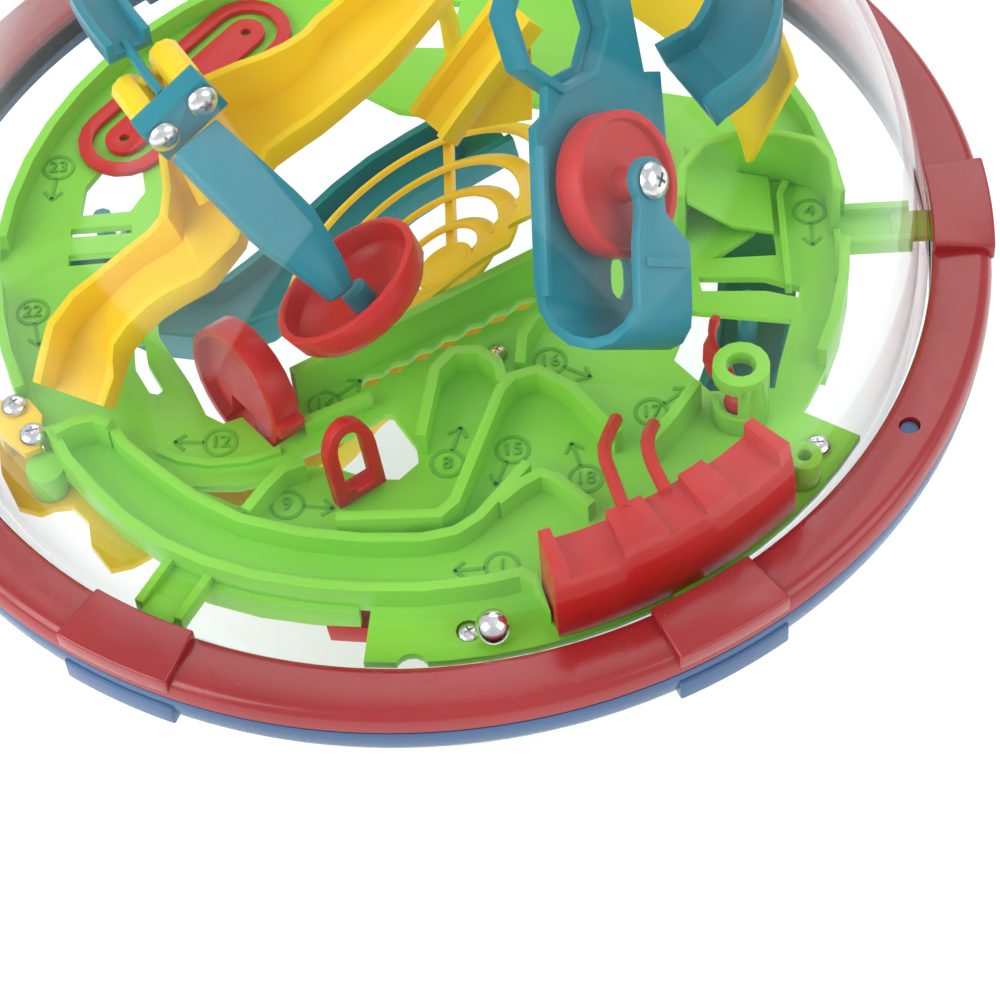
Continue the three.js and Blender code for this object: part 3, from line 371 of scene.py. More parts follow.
GREEN = MouldedPlastic("green_moulding", (0.26, 0.69, 0.055), (0.21, 0.61, 0.04), "green_plastic", glow=0.1)
# The raised marks get a darker green than the plate they are moulded on: painted shade for the shadows round
# the raised strokes.
MARK_GREEN_PAINTED_SHADE = MouldedPlastic("green_raised_marks", (0.14, 0.48, 0.035), (0.11, 0.41, 0.03), "green_plastic",
                            0.4)
RED = MouldedPlastic("red_moulding", (0.60, 0.02, 0.015), (0.50, 0.012, 0.01), "red_plastic", glow=0.1)
TEAL = MouldedPlastic("teal_moulding", (0.015, 0.25, 0.32), (0.012, 0.20, 0.26), "teal_plastic", glow=0.08)
YELLOW = MouldedPlastic("yellow_moulding", (0.95, 0.66, 0.008), (0.91, 0.58, 0.005), "yellow_plastic",
                        glow=0.14)
RIM_RED = MouldedPlastic("rim_red_moulding", (0.35, 0.02, 0.023), (0.29, 0.014, 0.017), "rim_red", 0.2, 0.6)
RIM_BLUE = MouldedPlastic("rim_blue_moulding", (0.06, 0.13, 0.27), (0.05, 0.11, 0.23), "rim_blue", 0.24)
CLEAR = ClearPlastic()
STEEL = BrightMetal("plated_steel", "screw_steel", (0.78, 0.78, 0.8), (0.62, 0.62, 0.64), 0.18)
BALL_STEEL = BrightMetal("polished_ball", "polished_steel", (0.84, 0.84, 0.86), (0.78, 0.78, 0.8), 0.05)
BRASS = BrightMetal("yellow_plating", "screw_brass", (0.78, 0.68, 0.42), (0.66, 0.55, 0.3), 0.2)

Finish = MouldedPlastic | ClearPlastic | BrightMetal


# ---------------------------------------------------------------- mesh helpers


def mesh_of(name: str, points: Iterable[Sequence[float]], faces: Iterable[Sequence[int]]) -> bpy.types.Mesh:
    """Make a mesh from points in millimetres.

    Args:
        name: Name of the mesh.
        points: Corner points in millimetres.
        faces: Corner numbers of each face.

    Returns:
        The mesh in metres, with its normals made to face out.
    """
    mesh = bpy.data.meshes.new(name)
    mesh.from_pydata([[c * MM for c in p] for p in points], [], [list(f) for f in faces])
    tidy_mesh(mesh)
    return mesh


def tidy_mesh(mesh: bpy.types.Mesh, gap: float = 1e-6) -> None:
    """Merge doubled points and make every face look outwards."""
    work = bmesh.new()
    work.from_mesh(mesh)
    bmesh.ops.remove_doubles(work, verts=work.verts, dist=gap)
    bmesh.ops.recalc_face_normals(work, faces=work.faces)
    work.to_mesh(mesh)
    work.free()


def prism(outline: Sequence[Point2], low: float, high: float) -> tuple[list[Point3], list[list[int]]]:
    """Raise a flat outline from one height to another.

    Args:
        outline: Corners in order.
        low: Height of the underside.
        high: Height of the top.

    Returns:
        Points and faces.
    """
    count = len(outline)
    points = [(x, y, low) for x, y in outline] + [(x, y, high) for x, y in outline]
    faces = [[i, (i + 1) % count, (i + 1) % count + count, i + count] for i in range(count)]
    faces.append(list(range(count))[::-1])
    faces.append(list(range(count, 2 * count)))
    return points, faces


def revolve(profile: Sequence[Point2], steps: int) -> tuple[list[Point3], list[list[int]]]:
    """Turn a closed profile of radius and height about Z.

    Args:
        profile: Radius and height of each corner, in order.
        steps: Number of facets round the axis.

    Returns:
        Points and faces.
    """
    count = len(profile)
    points: list[Point3] = []
    for i in range(steps):
        angle = 2 * math.pi * i / steps
        points += [(r * math.cos(angle), r * math.sin(angle), z) for r, z in profile]
    faces = []
    for i in range(steps):
        here, there = i * count, ((i + 1) % steps) * count
        for j in range(count):
            k = (j + 1) % count
            if profile[j][0] < 1e-6 and profile[k][0] < 1e-6:
                continue
            faces.append([here + j, here + k, there + k, there + j])
    return points, faces


def arc(radius: float, start: float, end: float, steps: int, centre: Point2 = (0.0, 0.0)) -> list[Point2]:
    """Return the points of an arc, with its angles in degrees."""
    angles = [math.radians(start + (end - start) * i / steps) for i in range(steps + 1)]
    return [(centre[0] + radius * math.cos(a), centre[1] + radius * math.sin(a)) for a in angles]


def placement(origin: Point3, z_axis: Point3, y_hint: Point3) -> Matrix:
    """Make a frame in space with Z along an axis.

    Args:
        origin: The frame's centre in millimetres.
        z_axis: Direction of the frame's Z.
        y_hint: Direction its Y comes as near to as it can.

    Returns:
        The frame as a matrix in metres.
    """
    z = Vector(z_axis).normalized()
    x = Vector(y_hint).cross(z).normalized()
    y = z.cross(x)
    turned = Matrix((x, y, z)).transposed().to_4x4()
    return Matrix.Translation(Vector(origin) * MM) @ turned


def show(name: str, mesh: bpy.types.Mesh) -> bpy.types.Object:
    """Put a mesh in the scene as an object at the origin."""
    made = bpy.data.objects.new(name, mesh)
    bpy.context.scene.collection.objects.link(made)
    return made


def plain_copy(source: bpy.types.Object) -> bpy.types.Mesh:
    """Return the mesh an object has after its modifiers."""
    graph = bpy.context.evaluated_depsgraph_get()
    return bpy.data.meshes.new_from_object(source.evaluated_get(graph), depsgraph=graph)


def settle(made: bpy.types.Object) -> None:
    """Turn an object's modifiers into its plain mesh."""
    mesh = plain_copy(made)
    made.modifiers.clear()
    made.data = mesh


def smooth(mesh: bpy.types.Mesh, degrees: float = 32.0) -> None:
    """Shade smooth, apart from edges sharper than an angle."""
    mesh.shade_smooth()
    mesh.set_sharp_from_angle(angle=math.radians(degrees))


@dataclass
class Piece:
    """One visible piece: its finish, the body it rides on and the nodes it stands for."""

    name: str
    finish: Finish
    nodes: tuple[str, ...]
    body: Body = Body.SHELL

    def dress(self, made: bpy.types.Object) -> bpy.types.Object:
        """Give the object its material and hand it to the frame.

        Args:
            made: The finished object at the origin.

        Returns:
            The same object.
        """
        made.data.materials.clear()
        made.data.materials.append(self.finish.material())
        for face in made.data.polygons:
            face.material_index = 0
        if self.nodes:
            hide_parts(*self.nodes)
        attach(made, self.body.value)
        log.info("%s: %d faces", made.name, len(made.data.polygons))
        return made

    def make(self, mesh: bpy.types.Mesh, soften: float = 0.0, degrees: float = 32.0) -> bpy.types.Object:
        """Make the object from a mesh, with softened edges, and dress it.

        Args:
            mesh: The mesh in place, in metres.
            soften: Width of the rounding on its edges, in millimetres.
            degrees: Angle past which an edge is rounded or stays sharp.

        Returns:
            The dressed object.
        """
        made = show(self.name, mesh)
        if soften > 0:
            bevel = made.modifiers.new("soft_edges", "BEVEL")
            bevel.width = soften * MM
            bevel.segments = 2
            bevel.limit_method = "ANGLE"
            bevel.angle_limit = math.radians(degrees)
            bevel.use_clamp_overlap = True
            bevel.harden_normals = False
            settle(made)
        smooth(made.data, degrees + 8)
        return self.dress(made)


def copy_of_node(node: str) -> bpy.types.Mesh:
    """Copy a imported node's mesh, with its doubles merged and its flat faces joined."""
    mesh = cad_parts[node].data.copy()
    mesh.name = node + "_refined"
    work = bmesh.new()
    work.from_mesh(mesh)
    bmesh.ops.remove_doubles(work, verts=work.verts, dist=2e-6)
    bmesh.ops.dissolve_limit(work, angle_limit=math.radians(1.5), verts=work.verts, edges=work.edges)
    work.to_mesh(mesh)
    work.free()
    return mesh


@dataclass
class RoundedMoulding:
    """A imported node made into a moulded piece: its facets joined and its edges rounded."""

    node: str
    finish: Finish
    soften: float = 0.35
    degrees: float = 32.0
    body: Body = Body.SHELL

    def build(self) -> bpy.types.Object:
        """Build and dress the piece."""
        piece = Piece(self.node + "_moulding", self.finish, (self.node,), self.body)
        return piece.make(copy_of_node(self.node), self.soften, self.degrees)


# ---------------------------------------------------------------- geometry node helpers


def new_geometry_tree(name: str, inputs: dict[str, tuple[str, float | int]]) -> bpy.types.NodeTree:
    """Start a geometry node tree with a Geometry socket each way and named inputs.

    Args:
        name: Name of the tree.
        inputs: Input name to socket type and starting value.

    Returns:
        The tree, with its input and output nodes placed.
    """
    tree = bpy.data.node_groups.new(name, "GeometryNodeTree")
    tree.interface.new_socket("Geometry", in_out="INPUT", socket_type="NodeSocketGeometry")
    for label, (kind, value) in inputs.items():
        socket = tree.interface.new_socket(label, in_out="INPUT", socket_type=kind)
        if value is not None:
            socket.default_value = value
    tree.interface.new_socket("Geometry", in_out="OUTPUT", socket_type="NodeSocketGeometry")
    tree.nodes.new("NodeGroupInput")
    tree.nodes.new("NodeGroupOutput")
    return tree


def end_tree(tree: bpy.types.NodeTree, geometry: bpy.types.NodeSocket, material: bpy.types.Material) -> None:
    """End a tree in Realize Instances and Set Material."""
    real = add_node(tree, "GeometryNodeRealizeInstances", {"Geometry": geometry})
    paint = add_node(tree, "GeometryNodeSetMaterial",
                     {"Geometry": real.outputs["Geometry"], "Material": material})
    tree.links.new(paint.outputs["Geometry"], tree.nodes["Group Output"].inputs["Geometry"])


def grow(
    tree: bpy.types.NodeTree, values: dict[str, object], seed: bpy.types.Mesh | None = None
) -> bpy.types.Mesh:
    """Run a geometry node tree and return what it makes as a plain mesh.

    Args:
        tree: The tree to run.
        values: Input name to value.
        seed: Mesh handed to the tree's Geometry input.

    Returns:
        The finished mesh.
    """
    holder = show("tree_holder", seed or bpy.data.meshes.new("tree_seed"))
    modifier = holder.modifiers.new("tree", "NODES")
    modifier.node_group = tree
    named = {item.name: item.identifier for item in tree.interface.items_tree if item.in_out == "INPUT"}
    for label, value in values.items():
        modifier[named[label]] = value
    mesh = plain_copy(holder)
    bpy.data.objects.remove(holder)
    return mesh


# ---------------------------------------------------------------- shell


@dataclass
class ClearShell:
    """The two clear domes and the red and blue halves of the rim."""

    dome_radius: float = 89.0
    dome_wall: float = 1.6
    lip_radius: float = 91.2
    lip_height: float = 1.5
    gap: float = 0.15
    block_degrees: float = 12.0
    block_radii: Point2 = (89.6, 100.3)
    red_block: Point2 = (2.1, 5.7)
    blue_block: Point2 = (-6.9, -2.1)
    peg_hole: float = 1.8
    peg: float = 1.5
    peg_circle: float = 93.9
    peg_angles: tuple[float, ...] = (-30.0, 90.0, 210.0)
    red_profile: tuple[Point2, ...] = (
        (89.4, 1.95), (91.6, 1.95), (91.6, 0.15), (99.6, 0.15), (100.0, 0.7), (99.9, 1.9), (99.6, 3.0),
        (99.1, 3.8), (98.4, 4.25), (97.5, 4.4), (94.0, 4.1), (91.0, 3.72), (90.0, 3.5), (89.5, 3.1),
    )
    blue_profile: tuple[Point2, ...] = (
        (89.4, -4.5), (89.7, -4.9), (90.4, -5.15), (94.0, -5.6), (97.6, -6.0), (98.5, -5.8), (99.2, -5.1),
        (99.5, -4.2), (99.9, -0.8), (99.7, -0.15), (91.6, -0.15), (91.6, -1.95), (89.4, -1.95),
    )

    def dome_mesh(self, side: int) -> bpy.types.Mesh:
        """Build one dome with its lip.

        Args:
            side: 1 for the upper dome and -1 for the lower one.

        Returns:
            The dome's mesh.
        """
        steps = 30
        inner = self.dome_radius - self.dome_wall
        low = math.asin(self.lip_height / self.dome_radius) + 0.003
        start = math.asin(self.gap / inner)
        profile = [(self.dome_radius * math.cos(a), self.dome_radius * math.sin(a))
                   for a in (math.pi / 2 + (low - math.pi / 2) * i / steps for i in range(steps + 1))]
        profile += [(self.lip_radius - 0.3, self.lip_height + self.gap),
                    (self.lip_radius, self.lip_height - 0.2),
                    (self.lip_radius, self.gap)]
        profile += [(inner * math.cos(a), inner * math.sin(a))
                    for a in (start + (math.pi / 2 - start) * i / steps for i in range(steps + 1))]
        profile[0] = (0.0, profile[0][1])
        profile[-1] = (0.0, profile[-1][1])
        points, faces = revolve([(r, side * z) for r, z in profile], 128)
        return mesh_of("dome", points, faces)

    def rim_mesh(self, profile: Sequence[Point2], low: float, high: float) -> bpy.types.Object:
        """Build one half of the rim with its six grip blocks.

        Args:
            profile: The ring's section.
            low: Underside of the blocks.
            high: Top of the blocks.

        Returns:
            The rim as an object that still needs its finish.
        """
        points, faces = revolve(profile, 192)
        ring = show("rim_ring", mesh_of("rim_ring", points, faces))
        for i in range(6):
            middle = 60.0 * i
            half = self.block_degrees / 2
            near, far = self.block_radii
            outline = arc(far, middle - half, middle + half, 8) + arc(near, middle + half, middle - half, 8)
            block = show("grip", mesh_of("grip", *prism(outline, low, high)))
            bevel = block.modifiers.new("soft_edges", "BEVEL")
            bevel.width = 0.45 * MM
            bevel.segments = 3
            bevel.limit_method = "ANGLE"
            settle(block)
            combine(ring, block, "UNION")
        return ring

    def build(self) -> None:
        """Build the domes and both rims."""
        for name, side in (("upper_dome", 1), ("lower_dome", -1)):
            Piece(name + "_clear", CLEAR, (name,)).make(self.dome_mesh(side), 0.0, 40.0)
        red = self.rim_mesh(self.red_profile, *self.red_block)
        blue = self.rim_mesh(self.blue_profile, *self.blue_block)
        for angle in self.peg_angles:
            spot = arc(self.peg_circle, angle, angle, 1)[0]
            hole = show("peg_hole", mesh_of("peg_hole", *prism(arc(self.peg_hole, 0, 348.75, 31, spot), -1, 8)))
            combine(red, hole, "DIFFERENCE")
            peg = show("peg", mesh_of("peg", *prism(arc(self.peg, 0, 348.75, 31, spot), -2, 3.1)))
            combine(blue, peg, "UNION")
        for made, finish, node in ((red, RIM_RED, "upper_rim"), (blue, RIM_BLUE, "lower_rim")):
            made.name = node + "_moulding"
            smooth(made.data, 34)
            Piece(made.name, finish, (node,)).dress(made)


def combine(whole: bpy.types.Object, part: bpy.types.Object, how: str) -> None:
    """Join a part to a piece, or cut it out of it, and drop the part.

    Args:
        whole: The piece that is kept.
        part: The part that is used up.
        how: UNION, DIFFERENCE or INTERSECT.
    """
    modifier = whole.modifiers.new("combine", "BOOLEAN")
    modifier.operation = how
    modifier.object = part
    modifier.solver = "EXACT"
    settle(whole)
    bpy.data.objects.remove(part)


# ---------------------------------------------------------------- screws and ball


@dataclass
class ScrewSpot:
    """Where one screw sits: the underside of its head, the way it points out and its sizes."""

    node: str
    at: Point3
    axis: Point3
    head: float
    finish: BrightMetal = STEEL
    shank: Point2 = (0.48, 1.0)


@dataclass
class CrossHeadScrews:
    """Cross-head screws: one turned head with a cross recess, placed on each spot by a node tree."""

    spots: tuple[ScrewSpot, ...] = (
        ScrewSpot("pan_screw", (7.2, -80.8, -1.1), (0, 0, 1), 2.2),
        ScrewSpot("boss_screw", (66.1, -47.6, 0.3), (0, 0, 1), 2.3),
        ScrewSpot("brass_screw", (13, -24, 0.3), (0, 0, 1), 1.8, BRASS),
        ScrewSpot("bracket_screw_1", (-69.6, -32.2, 2.9), (0, 0, 1), 2.3),
        ScrewSpot("bracket_screw_2", (-66.0, -38.6, 2.9), (0, 0, 1), 2.4),
        ScrewSpot("bracket_screw_3", (-64.0, -43.8, -7.3), (0, 0, -1), 2.2),
        ScrewSpot("clamp_screw_1", (-38.06, -13.75, 47.85), (0.47, -0.87, 0.12), 2.7),
        ScrewSpot("clamp_screw_2", (-31.57, -9.76, 51.41), (0.47, -0.87, 0.12), 2.7),
        ScrewSpot("wheel_screw", (40.35, -25.69, 44.1), (0.73, -0.42, 0.54), 3.1, STEEL, (0.387, 5.4)),
    )

    def head_object(self, shank: Point2) -> bpy.types.Object:
        """Build a screw of unit head radius with a domed top and a cross recess.

        Args:
            shank: The shank's radius and length, counted in head radii.

        Returns:
            The screw's object, which is removed once the screw is placed.
        """
        thick, length = shank
        profile = [(0.0, -length), (thick * 0.94, -length), (thick, 0.1 - length), (thick, 0.0), (0.97, 0.0),
                   (1.0, 0.06), (0.97, 0.18), (0.86, 0.36), (0.66, 0.5), (0.4, 0.585), (0.0, 0.61)]
        points, faces = revolve(profile, 40)
        head = show("screw_head", mesh_of("screw_head", [[c / MM for c in p] for p in points], faces))
        for turn in (0, 90):
            bar = [(-0.5, -0.1), (0.5, -0.1), (0.5, 0.1), (-0.5, 0.1)]
            spun = [(x, y) if turn == 0 else (-y, x) for x, y in bar]
            points, faces = prism(spun, 0.26, 1.0)
            points = [(x * (1.0 if z > 0.5 else 0.55), y * (1.0 if z > 0.5 else 0.7), z) for x, y, z in points]
            blade = show("blade", mesh_of("blade", [[c / MM for c in p] for p in points], faces))
            combine(head, blade, "DIFFERENCE")
        return head

    def tree(self) -> bpy.types.NodeTree:
        """Build the tree that stands the screw on every point, along its own axis and size."""
        tree = new_geometry_tree("screws_on_points", {
            "Screw": ("NodeSocketObject", None), "Head Radius": ("NodeSocketFloat", 0.0023),
            "Turn": ("NodeSocketFloat", 0.6),
        })
        source = tree.nodes["Group Input"].outputs
        screw = add_node(tree, "GeometryNodeObjectInfo", {"Object": source["Screw"]})
        axis = add_node(tree, "GeometryNodeInputNamedAttribute", data_type="FLOAT_VECTOR")
        axis.inputs["Name"].default_value = "axis"
        align = add_node(tree, "FunctionNodeAlignRotationToVector", {"Vector": axis.outputs["Attribute"]},
                         axis="Z")
        turn = add_node(tree, "ShaderNodeCombineXYZ", {"Z": source["Turn"]})
        to_rotation = add_node(tree, "FunctionNodeEulerToRotation", {"Euler": turn.outputs["Vector"]})
        spin = add_node(tree, "FunctionNodeRotateRotation", {
            "Rotation": align.outputs["Rotation"], "Rotate By": to_rotation.outputs["Rotation"],
        }, rotation_space="LOCAL")
        points = add_node(tree, "GeometryNodeMeshToPoints", {"Mesh": source["Geometry"]})
        stand = add_node(tree, "GeometryNodeInstanceOnPoints", {
            "Points": points.outputs["Points"], "Instance": screw.outputs["Geometry"],
            "Rotation": spin.outputs["Rotation"], "Scale": source["Head Radius"],
        })
        end_tree(tree, stand.outputs["Instances"], STEEL.material())
        return tree

    def build(self) -> None:
        """Build every screw as its own piece."""
        tree = self.tree()
        for i, spot in enumerate(self.spots):
            head = self.head_object(spot.shank)
            seed = bpy.data.meshes.new("screw_spot")
            seed.from_pydata([[c * MM for c in spot.at]], [], [])
            axis = seed.attributes.new("axis", "FLOAT_VECTOR", "POINT")
            axis.data[0].vector = spot.axis
            mesh = grow(tree, {"Screw": head, "Head Radius": spot.head * MM, "Turn": 0.5 + 1.1 * i}, seed)
            smooth(mesh, 40)
            Piece(spot.node + "_plated", spot.finish, (spot.node,)).make(mesh, 0.0, 32)
            bpy.data.objects.remove(head)


@dataclass
class LooseBall:
    """The loose steel ball, at rest in the start pan."""

    centre: Point3 = (11.3, -82.5, 3.3)
    radius: float = 3.0

    def build(self) -> None:
        """Build the ball from an icosphere, so that it has no poles."""
        work = bmesh.new()
        bmesh.ops.create_icosphere(work, subdivisions=5, radius=self.radius * MM)
        bmesh.ops.translate(work, verts=work.verts, vec=Vector(self.centre) * MM)
        mesh = bpy.data.meshes.new("ball")
        work.to_mesh(mesh)
        work.free()
        Piece("ball_polished", BALL_STEEL, ("steel_ball",), Body.BALL).make(mesh, 0.0, 60)


# ---------------------------------------------------------------- funnel


@dataclass
class RingFunnel:
    """The yellow funnel: open rings held by spokes round a solid cup, leaning over the opening."""

    at: Point3 = (0.4, -1.6, 7.0)
    axis: Point3 = (-0.46, 0.22, 0.86)
    outer: float = 26.6
    band: float = 3.8
    thickness: float = 1.2
    band_round: float = 0.45
    band_slope: float = 28.0
    pitch: float = 5.67
    drop: float = 2.33
    rings: int = 4
    spokes: int = 5
    first_spoke: float = 15.0
    cut_line: tuple[Point2, Point2] = ((-24.1, -31.9), (21.9, -5.6))

    def spoke_mesh(self) -> bpy.types.Mesh:
        """Build one spoke that runs up from the cup to the outer ring."""
        points, faces = prism([(3.0, -9.2), (27.4, -0.9), (27.4, -2.4), (3.0, -10.6)], -0.8, 0.8)
        return mesh_of("funnel_spoke", [(x, z, y) for x, y, z in points], faces)

    def ring_nodes(self, tree: bpy.types.NodeTree) -> bpy.types.NodeSocket:
        """Add the nodes that stack circles inwards and downwards and give them their band.

        Args:
            tree: The funnel's node tree.

        Returns:
            The socket with the rings' mesh.
        """
        source = tree.nodes["Group Input"].outputs
        down = add_node(tree, "ShaderNodeMath", {0: source["Drop"], 1: -1.0}, operation="MULTIPLY")
        fall = add_node(tree, "ShaderNodeCombineXYZ", {"Z": down.outputs[0]})
        row = add_node(tree, "GeometryNodeMeshLine",
                       {"Offset": fall.outputs["Vector"], "Count": source["Rings"]})
        index = add_node(tree, "GeometryNodeInputIndex")
        step = add_node(tree, "ShaderNodeMath", {0: index.outputs["Index"], 1: source["Pitch"]},
                        operation="MULTIPLY")
        radius = add_node(tree, "ShaderNodeMath", {0: source["Outer Radius"], 1: step.outputs[0]},
                          operation="SUBTRACT")
        circle = add_node(tree, "GeometryNodeCurvePrimitiveCircle", {"Resolution": 96, "Radius": 1.0})
        stack = add_node(tree, "GeometryNodeInstanceOnPoints", {
            "Points": row.outputs["Mesh"], "Instance": circle.outputs["Curve"], "Scale": radius.outputs[0],
        })
        real = add_node(tree, "GeometryNodeRealizeInstances", {"Geometry": stack.outputs["Instances"]})
        section = add_node(tree, "GeometryNodeCurvePrimitiveQuadrilateral",
                           {"Width": source["Band Width"], "Height": source["Band Thickness"]})
        soft = add_node(tree, "GeometryNodeFilletCurve", mode="POLY")
        for label, value in (("Count", 3), ("Radius", self.band_round * MM), ("Limit Radius", True)):
            soft.inputs[label].default_value = value
        tree.links.new(section.outputs["Curve"], soft.inputs["Curve"])
        lean = add_node(tree, "ShaderNodeCombineXYZ", {"Z": source["Band Slope"]})
        tilt = add_node(tree, "GeometryNodeTransform",
                        {"Geometry": soft.outputs["Curve"], "Rotation": lean.outputs["Vector"]})
        sweep = add_node(tree, "GeometryNodeCurveToMesh",
                         {"Curve": real.outputs["Geometry"], "Profile Curve": tilt.outputs["Geometry"]})
        return sweep.outputs["Mesh"]

    def spoke_nodes(self, tree: bpy.types.NodeTree) -> bpy.types.NodeSocket:
        """Add the nodes that turn the spokes round the funnel's axis.

        Args:
            tree: The funnel's node tree.

        Returns:
            The socket with the spokes.
        """
        source = tree.nodes["Group Input"].outputs
        around = add_node(tree, "GeometryNodeMeshCircle", {"Radius": 0.0, "Vertices": source["Spokes"]})
        index = add_node(tree, "GeometryNodeInputIndex")
        share = add_node(tree, "ShaderNodeMath", {0: 2 * math.pi, 1: source["Spokes"]}, operation="DIVIDE")
        angle = add_node(tree, "ShaderNodeMath", {
            0: index.outputs["Index"], 1: share.outputs[0], 2: math.radians(self.first_spoke),
        }, operation="MULTIPLY_ADD")
        turn = add_node(tree, "ShaderNodeCombineXYZ", {"Z": angle.outputs[0]})
        spoke = add_node(tree, "GeometryNodeObjectInfo", {"Object": source["Spoke"]})
        wheel = add_node(tree, "GeometryNodeInstanceOnPoints", {
            "Points": around.outputs["Mesh"], "Instance": spoke.outputs["Geometry"],
            "Rotation": turn.outputs["Vector"],
        })
        return wheel.outputs["Instances"]

    def tree(self) -> bpy.types.NodeTree:
        """Build the tree of rings and spokes."""
        tree = new_geometry_tree("rings_and_spokes", {
            "Spoke": ("NodeSocketObject", None),
            "Rings": ("NodeSocketInt", 4), "Spokes": ("NodeSocketInt", 5),
            "Outer Radius": ("NodeSocketFloat", 0.0266), "Pitch": ("NodeSocketFloat", 0.0057),
            "Drop": ("NodeSocketFloat", 0.0023), "Band Width": ("NodeSocketFloat", 0.0038),
            "Band Thickness": ("NodeSocketFloat", 0.0012), "Band Slope": ("NodeSocketFloat", 0.49),
        })
        both = tree.nodes.new("GeometryNodeJoinGeometry")
        tree.links.new(self.ring_nodes(tree), both.inputs["Geometry"])
        tree.links.new(self.spoke_nodes(tree), both.inputs["Geometry"])
        end_tree(tree, both.outputs["Geometry"], YELLOW.material())
        return tree

    def cup_mesh(self) -> bpy.types.Mesh:
        """Build the solid cup at the funnel's middle."""
        profile = [(0.0, -10.2), (4.8, -10.2), (5.4, -9.9), (5.7, -9.2), (5.7, -7.9), (5.3, -7.6), (4.6, -8.2),
                   (3.0, -8.7), (0.0, -8.9)]
        return mesh_of("funnel_cup", *revolve(profile, 48))

    def build(self) -> None:
        """Build the funnel, lean it over and cut it off along the trough's wall."""
        spoke = show("spoke_source", self.spoke_mesh())
        mesh = grow(self.tree(), {
            "Spoke": spoke, "Rings": self.rings, "Spokes": self.spokes, "Outer Radius": self.outer * MM,
            "Pitch": self.pitch * MM, "Drop": self.drop * MM, "Band Width": self.band * MM,
            "Band Thickness": self.thickness * MM, "Band Slope": math.radians(self.band_slope),
        })
        cup = self.cup_mesh()
        work = bmesh.new()
        work.from_mesh(mesh)
        work.from_mesh(cup)
        work.transform(placement(self.at, self.axis, (0, 1, 0)))
        (x0, y0), (x1, y1) = self.cut_line
        across = Vector((y1 - y0, x0 - x1, 0)).normalized()
        made = bmesh.ops.bisect_plane(work, geom=work.verts[:] + work.edges[:] + work.faces[:],
                                      plane_co=Vector((x0, y0, 0)) * MM, plane_no=across, clear_outer=True)
        rims = [e for e in made["geom_cut"] if isinstance(e, bmesh.types.BMEdge)]
        bmesh.ops.holes_fill(work, edges=rims)
        bmesh.ops.recalc_face_normals(work, faces=work.faces)
        work.to_mesh(mesh)
        work.free()
        bpy.data.objects.remove(spoke)
        Piece("funnel_moulding", YELLOW, ("spiral_funnel",)).make(mesh, 0.0, 32)


# ---------------------------------------------------------------- raised marks


@dataclass
class RaisedMark:
    """One raised step mark: a number in a ring with an arrow leading away."""

    number: str
    at: Point2
    heading: float


